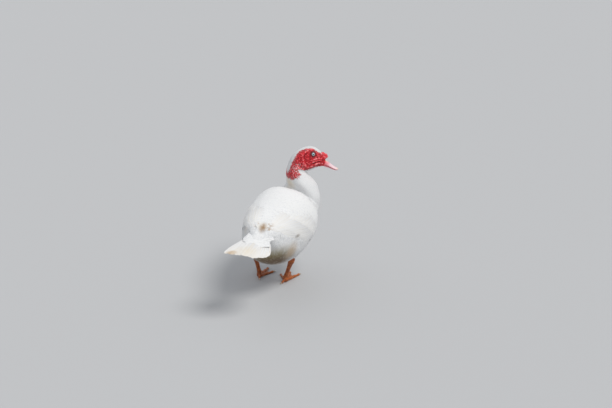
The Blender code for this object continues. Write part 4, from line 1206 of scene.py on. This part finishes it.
def scale_relief(mesh, side):
    """Scutes down the front of the shank and over the toes, and small round scales elsewhere."""
    count = len(mesh.vertices)
    points, normals = np.empty((2, count * 3), np.float32)
    mesh.vertices.foreach_get("co", points)
    mesh.vertices.foreach_get("normal", normals)
    points, normals = points.reshape(-1, 3).astype(float), normals.reshape(-1, 3)
    rng = np.random.default_rng(SEED + 80)
    seeds = points[rng.permutation(count)[: max(1, count // 26)]]
    _, cells = cells_of(seeds, points, SCALE_RIM)

    def bands(along, length):
        return (0.5 - 0.5 * np.cos(along * 2 * math.pi / length)) ** 0.4

    heel, hock = place(*HEELS[side], 0), place(*HOCKS[side])
    down = dot(points - hock, unit(heel + (0, 0, ANKLE_HEIGHT) - hock))
    on_shank = smooth(ANKLE_HEIGHT * 0.9, ANKLE_HEIGHT * 1.3, points[:, 2])
    front = smooth(0.15, 0.6, dot(normals, toe_way(side, "middle"))) * on_shank
    pattern = mix(cells, bands(down, SCUTE_LENGTH), front)
    for toe in TOES:
        way = toe_way(side, toe)
        reach = dot(points - heel, way)
        off = np.linalg.norm((points - heel - reach[:, None] * way)[:, :2], axis=-1)
        on_toe = (1 - smooth(0.0035, 0.0052, off)) * smooth(0.2, 0.6, normals[:, 2]) * (1 - on_shank)
        pattern = mix(pattern, bands(reach, TOE_SCUTE_LENGTH), on_toe * smooth(0.012, 0.02, reach))
    amount = SCALE_RELIEF * smooth(0.0004, 0.0016, points[:, 2])
    points += normals * ((pattern - 0.6) * amount)[:, None]
    points[:, 2] = np.maximum(points[:, 2], 0.0)
    mesh.vertices.foreach_set("co", points.astype(np.float32).ravel())
    add_value(mesh, "relief", pattern)
    add_value(mesh, "height", points[:, 2] / 0.08)
    mesh.update()


def claws(side):
    """The four curved claws of a foot."""
    share = np.linspace(0, 1, 18)
    roots = {toe: (length, 0.0036, 1.0) for toe, (length, *_) in TOES.items()}
    roots["hallux"] = (HALLUX_START + HALLUX_LENGTH, HALLUX_HEIGHTS[1], 0.75)
    parts = []
    for toe, (reach, height, size) in roots.items():
        length = CLAW_LENGTH * size + CLAW_ROOT
        line = toe_line(side, toe, reach - CLAW_ROOT + length * share)
        line[:, 2] += height - 0.0027 * size * share**2
        radii = np.maximum(0.0002, CLAW_RADIUS * size * (1 - share**1.6) ** 0.9)
        parts.append(tube(line, radii, 14))
    return add_object(f"claws_{side}", *merged(parts))


def thigh_frame(side):
    """The surface of the feathered thigh: u falls from 1 at its top to 0 at the hock."""
    top, hock = leg_ends(side)
    end = hock + unit(top - hock) * THIGH_STOP
    axis = unit(end - top)
    side_axis = unit(np.cross(axis, (1.0, 0.0, 0.0)))
    front = np.cross(side_axis, axis)

    def points(u, v):
        u, v = np.broadcast_arrays(u, v)
        share = np.clip(1 - u, -0.2, 1.2)
        radius = mix(*THIGH_RADII, np.clip(share, 0, 1) ** THIGH_TAPER) - THIGH_UNDER_FEATHERS
        middle = top + (end - top) * share[..., None]
        return circles(middle, side_axis, front, radius, np.radians(v))

    def frame_at(u, v):
        middle, along, around, normal = slopes_of(points, u, v, THIGH_STEPS)
        outward = np.sign(dot(normal, middle - (top + (end - top) * (1 - u[..., None]))))
        return middle, along, around, normal * outward[..., None]

    return frame_at


def thigh_coat(side):
    """Feathers over the thigh down to the hock."""
    rng = np.random.default_rng(SEED + 90 + SIDES[side])
    u = rng.uniform(0.02, 0.98, THIGH_FEATHERS)
    v = rng.uniform(0, 360, THIGH_FEATHERS)
    length = mix(0.010, 0.018, u) * rng.uniform(0.85, 1.15, THIGH_FEATHERS)
    return small_feathers(
        f"thigh_feathers_{side}", thigh_frame(side), u, v,
        (length, length * 0.24, length * 0.10, length * 0.03),
        lambda a, b: stacked(0.02 + 0.96 * (b % 360) / 360, 0.02 + 0.9 * a), FEATHER_ROWS, rng,
    )


def thigh_flesh(side):
    """The thigh's own form under its feathers, which is part of the skin's piece."""
    u, v = np.meshgrid(np.linspace(1, 0, 20), np.arange(0, 360, 12), indexing="ij")
    vertices, faces = closed_rings(thigh_frame(side)(u, v)[0])
    values = dict.fromkeys(("bare", "relief", "inside"), np.zeros(len(vertices)))
    bake = np.tile((0.02, 0.02), (len(vertices), 1))
    return add_object(f"flesh_{side}", vertices, faces, bake, values)


class Signal:
    """A number or colour that runs between the nodes of a material."""

    def __init__(self, nodes, socket):
        self.nodes = nodes
        self.socket = socket

    def __add__(self, other):
        return self.nodes.math("ADD", self, other)

    def __sub__(self, other):
        return self.nodes.math("SUBTRACT", self, other)

    def __mul__(self, other):
        return self.nodes.math("MULTIPLY", self, other)

    def span(self, low, high, first=0.0, last=1.0):
        """A smooth step from first to last, as the signal goes from low to high."""
        links = {"Value": self, "From Min": low, "From Max": high, "To Min": first, "To Max": last}
        return self.nodes.add("ShaderNodeMapRange", "Result", links, interpolation_type="SMOOTHSTEP")


class Nodes:
    """Short names for building one material's node tree."""

    SOCKETS = {
        "colour": "Base Color", "roughness": "Roughness", "normal": "Normal",
        "specular": "Specular IOR Level", "sheen": "Sheen Weight", "coat": "Coat Weight",
        "coat_roughness": "Coat Roughness", "flesh": "Subsurface Weight",
        "flesh_radius": "Subsurface Radius", "flesh_scale": "Subsurface Scale",
    }

    def __init__(self, name):
        self.material = bpy.data.materials.new(name)
        self.material.use_nodes = True
        self.tree = self.material.node_tree
        self.position = self.add("ShaderNodeTexCoord", "Object")

    def connect(self, socket, value):
        """Links a signal to a socket, or sets the socket to a constant."""
        if isinstance(value, Signal):
            self.tree.links.new(value.socket, socket)
        else:
            socket.default_value = (*value, 1) if socket.type == "RGBA" else value

    def add(self, kind, output, links=None, **settings):
        """A new node, as the signal that leaves it at one output."""
        node = self.tree.nodes.new(kind)
        for key, value in settings.items():
            setattr(node, key, value)
        for key, value in (links or {}).items():
            self.connect(node.inputs[key], value)
        return Signal(self, node.outputs[output])

    def attribute(self, name):
        return self.add("ShaderNodeAttribute", "Fac", attribute_name=name)

    def noise(self, scale, detail=3.0, roughness=0.55, at=None):
        links = {"Scale": scale, "Detail": detail, "Roughness": roughness, "Vector": at or self.position}
        return self.add("ShaderNodeTexNoise", "Fac", links)

    def math(self, operation, a, b=0.0):
        return self.add("ShaderNodeMath", 0, {0: a, 1: b}, operation=operation)

    def vector(self, operation, a, b=(0.0, 0.0, 0.0), output="Vector"):
        return self.add("ShaderNodeVectorMath", output, {0: a, 1: b}, operation=operation)

    def mixed(self, share, a, b):
        return self.add("ShaderNodeMix", 2, {0: share, 6: a, 7: b}, data_type="RGBA")

    def ramp(self, value, *stops):
        colour = self.add("ShaderNodeValToRGB", "Color", {0: value})
        elements = colour.socket.node.color_ramp.elements
        while len(elements) < len(stops):
            elements.new(1.0)
        for element, (at, stop) in zip(elements, stops):
            element.position = at
            element.color = (*stop, 1)
        return colour

    def bump(self, height, strength, distance):
        links = {"Height": height, "Strength": strength, "Distance": distance}
        return self.add("ShaderNodeBump", "Normal", links)

    def near(self, centre, size):
        """1 near a world place and 0 away from it, in an ellipsoid of that size."""
        offset = self.vector("SUBTRACT", self.position, tuple(float(c) for c in centre))
        away = self.vector("LENGTH", self.vector("DIVIDE", offset, size), output="Value")
        return away.span(1.25, 0.2)

    def near_spot(self, centre, size):
        """The same for a place and a size in the bird's frame."""
        forward, left, up = size
        return self.near(place(*centre), (left, forward, up))

    def finish(self, **values):
        """Sets the shader's sockets, and gives the material."""
        for key, value in values.items():
            self.connect(self.tree.nodes["Principled BSDF"].inputs[self.SOCKETS[key]], value)
        return self.material


WHITE = (0.86, 0.86, 0.86)
COOL = (0.78, 0.80, 0.84)
# Painted shade of the feathers where others lie over them
SHADE = (0.65, 0.66, 0.68)
CREAM = (0.74, 0.66, 0.53)
BUFF = (0.56, 0.42, 0.27)
DARK_BUFF = (0.32, 0.19, 0.09)
BROWN = (0.13, 0.075, 0.032)
OLIVE = (0.27, 0.215, 0.085)
GREY = (0.42, 0.40, 0.42)

# Colours laid on the plumage, mostly stains, with painted shade where told below: centre and size in the
# bird's frame, colour and strength
STAINS_AND_PAINTED_SHADE = (
    ((-0.205, -0.030, 0.236), (0.020, 0.022, 0.018), CREAM, 0.60),
    # Painted shadow between the left wing and the tail
    ((-0.180, 0.055, 0.205), (0.032, 0.020, 0.028), GREY, 0.60),
    ((-0.200, 0.035, 0.214), (0.024, 0.020, 0.020), BUFF, 0.60),
    # The next two: dirt on the rear belly and along its lower edge, darkened with painted shade
    ((-0.165, -0.040, 0.124), (0.080, 0.085, 0.046), OLIVE, 0.95),
    ((-0.142, -0.042, 0.101), (0.094, 0.090, 0.040), BROWN, 1.00),
    ((-0.108, -0.086, 0.122), (0.034, 0.022, 0.044), BUFF, 0.75),
    ((-0.210, -0.031, 0.232), (0.026, 0.012, 0.020), DARK_BUFF, 1.00),
    ((0.118, -0.012, 0.262), (0.024, 0.030, 0.024), CREAM, 0.75),
    ((-0.348, 0.014, 0.196), (0.016, 0.018, 0.016), BUFF, 0.95),
    ((-0.330, -0.020, 0.194), (0.040, 0.030, 0.020), CREAM, 0.50),
    # Painted shade in the slit under the right wing's lower rear edge
    ((-0.100, -0.104, 0.172), (0.020, 0.010, 0.007), BROWN, 0.80),
    # Two small grey spots on the back
    ((-0.150, -0.028, 0.262), (0.006, 0.006, 0.010), GREY, 0.60),
    ((-0.172, -0.038, 0.252), (0.005, 0.006, 0.010), GREY, 0.55),
)
# The stains and the painted shade lie in streaks that hang down the feathers.
STREAKING = (1.0, 0.55, 0.28)

# Where the wing tips' ends are brown: centre and size in the bird's frame
BROWN_TIPS = ((-0.210, -0.036, 0.231), (0.036, 0.032, 0.026))

# Paler folds of the bare skin, on both sides: section, degrees, radius, strength
PALE_FOLDS = (
    (14.3, 91, 0.0040, 0.38), (14.9, 87, 0.0036, 0.34), (15.6, 84, 0.0040, 0.16),
    (13.7, 106, 0.0050, 0.14), (12.3, 96, 0.0070, 0.14), (16.6, 60, 0.0045, 0.20),
)
# Where white flecks stand among the red on the neck
FLECKED_AT = (10.9, 80.0)
FLECKED_RADIUS = 0.024


def laid_stains_and_shade(nodes, colour):
    """Lays the plumage's stains and painted shade over a colour."""
    hanging = nodes.vector("MULTIPLY", nodes.position, STREAKING)
    uneven = nodes.noise(190.0, 4.0, at=hanging).span(0.34, 0.56, 0.70, 1.0)
    for centre, size, stain_and_shade_colour, amount in STAINS_AND_PAINTED_SHADE:
        colour = nodes.mixed(nodes.near_spot(centre, size) * uneven * amount, colour, stain_and_shade_colour)
    return colour


def plumage(name, tint, barbs, shade, shaft=0.0):
    """White feathers: soft, a little uneven, with barbs that slant from the shaft. They fade
    from painted grey shade over the shade's range along them, and shaft is how much it shows."""
    nodes = Nodes(name)
    tone = nodes.attribute("tone")
    colour = nodes.mixed(nodes.noise(9.0, 2.0), WHITE, tint)
    colour = nodes.mixed(tone * 0.22, colour, COOL)
    flat = nodes.add("ShaderNodeUVMap", "UV", uv_map="vane")
    across, along = (nodes.add("ShaderNodeSeparateXYZ", axis, {0: flat}) for axis in "XY")
    off = nodes.math("ABSOLUTE", across - 0.5)
    # Painted shade: a feather is greyer where the ones before it lie over it, and palest at its rim.
    unshaded = nodes.math("MAXIMUM", along.span(*shade), off.span(0.34, 0.47))
    colour = nodes.mixed(unshaded, nodes.mixed(0.65, colour, SHADE), colour)
    if shaft:
        colour = nodes.mixed(off.span(0.045, 0.012) * shaft, colour, CREAM)
        own = tone * 40.0
        stretched = nodes.add("ShaderNodeCombineXYZ", 0, {0: across * 9.0 + own, 1: along, 2: own})
        streak = nodes.noise(1.0, 3.0, at=stretched).span(0.46, 0.66)
        colour = nodes.mixed(streak * along.span(0.10, 0.9, shaft * 0.3, shaft), colour, CREAM)
        tips = along.span(0.80, 0.94) * nodes.near_spot(*BROWN_TIPS)
        colour = nodes.mixed(tips, colour, DARK_BUFF)
    wave = nodes.math("SINE", along * (barbs * 2.2) - off * (barbs * 1.5))
    normal = nodes.bump(wave * 0.14 + nodes.noise(420.0, 2.0), 0.40, 0.0007)
    colour = laid_stains_and_shade(nodes, colour)
    return nodes.finish(colour=colour, normal=normal, roughness=0.72, specular=0.25, sheen=0.15)


def skin_material():
    """Red fleshy skin where it is bare, with painted highlights on its pebbles and folds and painted
    shade in the creases between them, pale pink where feathers cover it.
    """
    nodes = Nodes("face_skin")
    bare = nodes.attribute("bare")
    mottled = nodes.noise(210.0, 4.0, 0.6) - 0.5
    cells = nodes.add("ShaderNodeTexVoronoi", "Distance", {"Scale": 430.0, "Vector": nodes.position})
    pebble = nodes.math("SUBTRACT", 0.42, cells)
    value = nodes.attribute("relief") * 0.95 + mottled * 1.10 + pebble * 0.50
    for at, degrees, radius, amount in PALE_FOLDS:
        for sign in SIDES.values():
            value = value + nodes.near(body_points(at, degrees * sign), (radius,) * 3) * amount
    # The red skin's own colour, going to pink on the tops of pebbles and folds as painted highlight and
    # near black in the creases between them as painted shade
    red = nodes.ramp(
        value, (0.0, (0.14, 0.002, 0.005)), (0.22, (0.45, 0.006, 0.013)),
        (0.48, (0.70, 0.018, 0.032)), (0.75, (0.86, 0.13, 0.15)), (1.0, (0.94, 0.52, 0.52)),
    )
    edge = nodes.attribute("inside").span(0.45, 0.0)
    flecks = nodes.noise(520.0, 2.0).span(0.56, 0.64) * edge
    sparse = nodes.noise(330.0, 2.0).span(0.54, 0.60)
    section, degrees = FLECKED_AT
    for sign in SIDES.values():
        collar = nodes.near(body_points(section, degrees * sign), (FLECKED_RADIUS,) * 3)
        flecks = nodes.math("MAXIMUM", flecks, sparse * collar)
    red = nodes.mixed(flecks * 0.80, red, (0.86, 0.74, 0.74))
    covered = nodes.mixed(nodes.noise(60.0, 2.0), (0.80, 0.76, 0.74), WHITE)
    height = (mottled * 1.6 + pebble * 1.2 + nodes.noise(1500.0, 2.0) * 0.3) * bare
    return nodes.finish(
        colour=nodes.mixed(bare, laid_stains_and_shade(nodes, covered), red), normal=nodes.bump(height, 0.55, 0.0010),
        roughness=0.42, specular=0.35, flesh=0.10, flesh_radius=(1.0, 0.25, 0.15), flesh_scale=0.002,
    )


def bill_material():
    """Pink horn, whitish towards the tip, deep pink along the mouth, cream at its root, with painted
    shade in the nostrils.
    """
    nodes = Nodes("bill_horn")
    along, edge, pit = (nodes.attribute(name) for name in ("along", "edge", "pit"))
    uneven = (nodes.noise(160.0, 4.0) - 0.5) * 0.35
    reach = along + uneven
    colour = nodes.ramp(
        reach, (0.02, (0.72, 0.10, 0.13)), (0.16, (0.84, 0.33, 0.37)),
        (0.36, (0.86, 0.60, 0.65)), (0.85, (0.88, 0.68, 0.71)),
    )
    for share, tint in (
        ((edge + uneven).span(0.36, 0.06) * 0.88, (0.62, 0.10, 0.13)),
        (edge.span(0.84, 0.96) * reach.span(0.26, 0.06), (0.84, 0.72, 0.50)),
        (reach.span(0.86, 0.93) * edge.span(0.55, 0.8), (0.80, 0.58, 0.36)),
        # Painted shade in the nostril pits
        (pit.span(0.35, 0.75), (0.12, 0.01, 0.012)),
    ):
        colour = nodes.mixed(share, colour, tint)
    return nodes.finish(
        colour=colour, normal=nodes.bump(nodes.noise(700.0, 3.0), 0.18, 0.0004), roughness=0.34,
        specular=0.5, coat=0.2, coat_roughness=0.2,
        flesh=0.08, flesh_radius=(1.0, 0.4, 0.3), flesh_scale=0.002,
    )


def eye_material():
    """Dark pupil in a pale blue-green iris, with a wet shine."""
    nodes = Nodes("eye")
    off = nodes.attribute("off_axis") + nodes.noise(2600.0, 2.0) * 0.06
    colour = nodes.ramp(
        off, (0.0, (0.004, 0.005, 0.006)), (0.310, (0.006, 0.012, 0.014)), (0.340, (0.05, 0.22, 0.25)),
        (0.44, (0.26, 0.52, 0.57)), (0.58, (0.46, 0.66, 0.70)), (0.70, (0.03, 0.02, 0.02)),
    )
    return nodes.finish(colour=colour, roughness=0.06, coat=1.0, coat_roughness=0.02, specular=0.6)


def leg_material():
    """Orange scales with painted shade in the creases between them, dirtier towards the webs."""
    nodes = Nodes("leg_skin")
    # Darker in the creases between the scales: painted shade
    value = nodes.attribute("relief") + (nodes.noise(130.0, 4.0) - 0.5) * 0.6
    colour = nodes.ramp(
        value, (0.0, (0.085, 0.013, 0.005)), (0.35, (0.26, 0.045, 0.009)),
        (0.75, (0.45, 0.098, 0.014)), (1.0, (0.56, 0.19, 0.04)),
    )
    dirt = nodes.noise(38.0, 4.0).span(0.42, 0.68) * 0.55
    colour = nodes.mixed(dirt, colour, (0.22, 0.07, 0.025))
    low = nodes.attribute("height").span(0.09, 0.0) * 0.30
    colour = nodes.mixed(low, colour, (0.40, 0.20, 0.06))
    normal = nodes.bump(nodes.noise(900.0, 3.0), 0.25, 0.0004)
    return nodes.finish(colour=colour, normal=normal, roughness=0.48, specular=0.45)


def claw_material():
    nodes = Nodes("claw")
    stripes = nodes.noise(300.0, 4.0)
    colour = nodes.ramp(
        stripes, (0.3, (0.30, 0.20, 0.12)), (0.6, (0.62, 0.50, 0.36)), (0.9, (0.74, 0.66, 0.52))
    )
    normal = nodes.bump(stripes, 0.2, 0.0003)
    return nodes.finish(colour=colour, normal=normal, roughness=0.35, specular=0.5)


# Camera, which stands behind the bird and looks down on it
CAMERA_AT = (-3.064, -0.864, 1.168)
CAMERA_HEADING = 14.0
CAMERA_PITCH = 16.4
CAMERA_LENS = 67.647

# Lamps: place, strength, spread and colour
LAMPS = {
    "key": ((-1.35, 0.60, 2.1), 1.90, 26.0, (1.0, 0.985, 0.955)),
    "fill": ((1.8, -1.0, 1.3), 0.45, 80.0, (0.95, 0.97, 1.0)),
}
SKY_COLOUR = (0.94, 0.965, 1.0)
SKY_STRENGTH = 0.54
FLOOR_COLOUR = (0.50, 0.505, 0.515)
FLOOR_HALF_SIZE = 30.0


def floor():
    size = FLOOR_HALF_SIZE
    mesh = bpy.data.meshes.new("floor")
    corners = [(-size, -size, 0), (size, -size, 0), (size, size, 0), (-size, size, 0)]
    mesh.from_pydata(corners, [], [(0, 1, 2, 3)])
    mesh.materials.append(Nodes("floor").finish(colour=FLOOR_COLOUR, roughness=0.9, specular=0.1))
    linked("floor", mesh)


def soft_sun(name, at, strength, spread, colour):
    """A distant wide lamp that shines from a place towards the bird."""
    data = bpy.data.lights.new(name, "SUN")
    data.energy = strength
    data.angle = math.radians(spread)
    data.color = colour
    thing = linked(name, data)
    thing.location = at
    thing.rotation_euler = (-Vector(at)).to_track_quat("-Z", "Y").to_euler()


def studio():
    world = bpy.data.worlds.new("studio")
    world.use_nodes = True
    background = world.node_tree.nodes["Background"]
    background.inputs["Color"].default_value = (*SKY_COLOUR, 1)
    background.inputs["Strength"].default_value = SKY_STRENGTH
    bpy.context.scene.world = world
    bpy.context.scene.view_settings.view_transform = "Standard"
    for name, settings in LAMPS.items():
        soft_sun(name, *settings)


def camera():
    data = bpy.data.cameras.new("camera")
    data.lens = CAMERA_LENS
    data.sensor_width = 36.0
    data.clip_start = 0.05
    data.clip_end = 100.0
    thing = linked("camera", data)
    thing.location = Vector(place(*CAMERA_AT))
    heading, pitch = math.radians(CAMERA_HEADING), math.radians(CAMERA_PITCH)
    level = math.cos(pitch)
    look = Vector((math.sin(heading) * level, -math.cos(heading) * level, -math.sin(pitch)))
    thing.rotation_euler = look.to_track_quat("-Z", "Y").to_euler()
    bpy.context.scene.camera = thing


def main():
    body_plumage = plumage("body_plumage", (0.80, 0.80, 0.79), 60.0, (0.72, 0.97))
    wing_plumage = plumage("wing_plumage", (0.81, 0.80, 0.78), 150.0, (0.35, 0.95), shaft=0.20)
    tail_plumage = plumage("tail_plumage", (0.82, 0.80, 0.77), 150.0, (0.30, 0.95), shaft=0.65)
    horn, wet, scales, nail = bill_material(), eye_material(), leg_material(), claw_material()
    face = join_into(skin(), knob(), thigh_flesh("left"), thigh_flesh("right"))
    dress(face, skin_material(), "face_skin", "torso", "neck", "head", "thigh_left", "thigh_right")
    for piece in body_coat():
        dress(piece, body_plumage, "body_plumage")
    for piece in head_coat():
        dress(piece, body_plumage, "neck_plumage")
    dress(tail_feathers(), tail_plumage, "tail_plumage", "tail")
    dress(tail_coverts(), body_plumage, "tail_plumage")
    dress(mandible("bill_upper_horn", True), horn, "bill_horn", "bill_upper", "bill_nail")
    dress(mandible("bill_lower_horn", False), horn, "bill_horn", "bill_lower")
    for side in SIDES:
        dress(wing_feathers(side), wing_plumage, "wing_plumage", f"wing_{side}")
        dress(eyeball(side), wet, "eye", f"eye_{side}")
        dress(leg_and_foot(side), scales, "leg_skin", f"leg_{side}", f"foot_{side}")
        dress(claws(side), nail, "claw", *(f"claw_{side}_{toe}" for toe in (*TOES, "hallux")))
        dress(thigh_coat(side), body_plumage, "thigh_plumage")
    floor()
    studio()
    camera()


main()
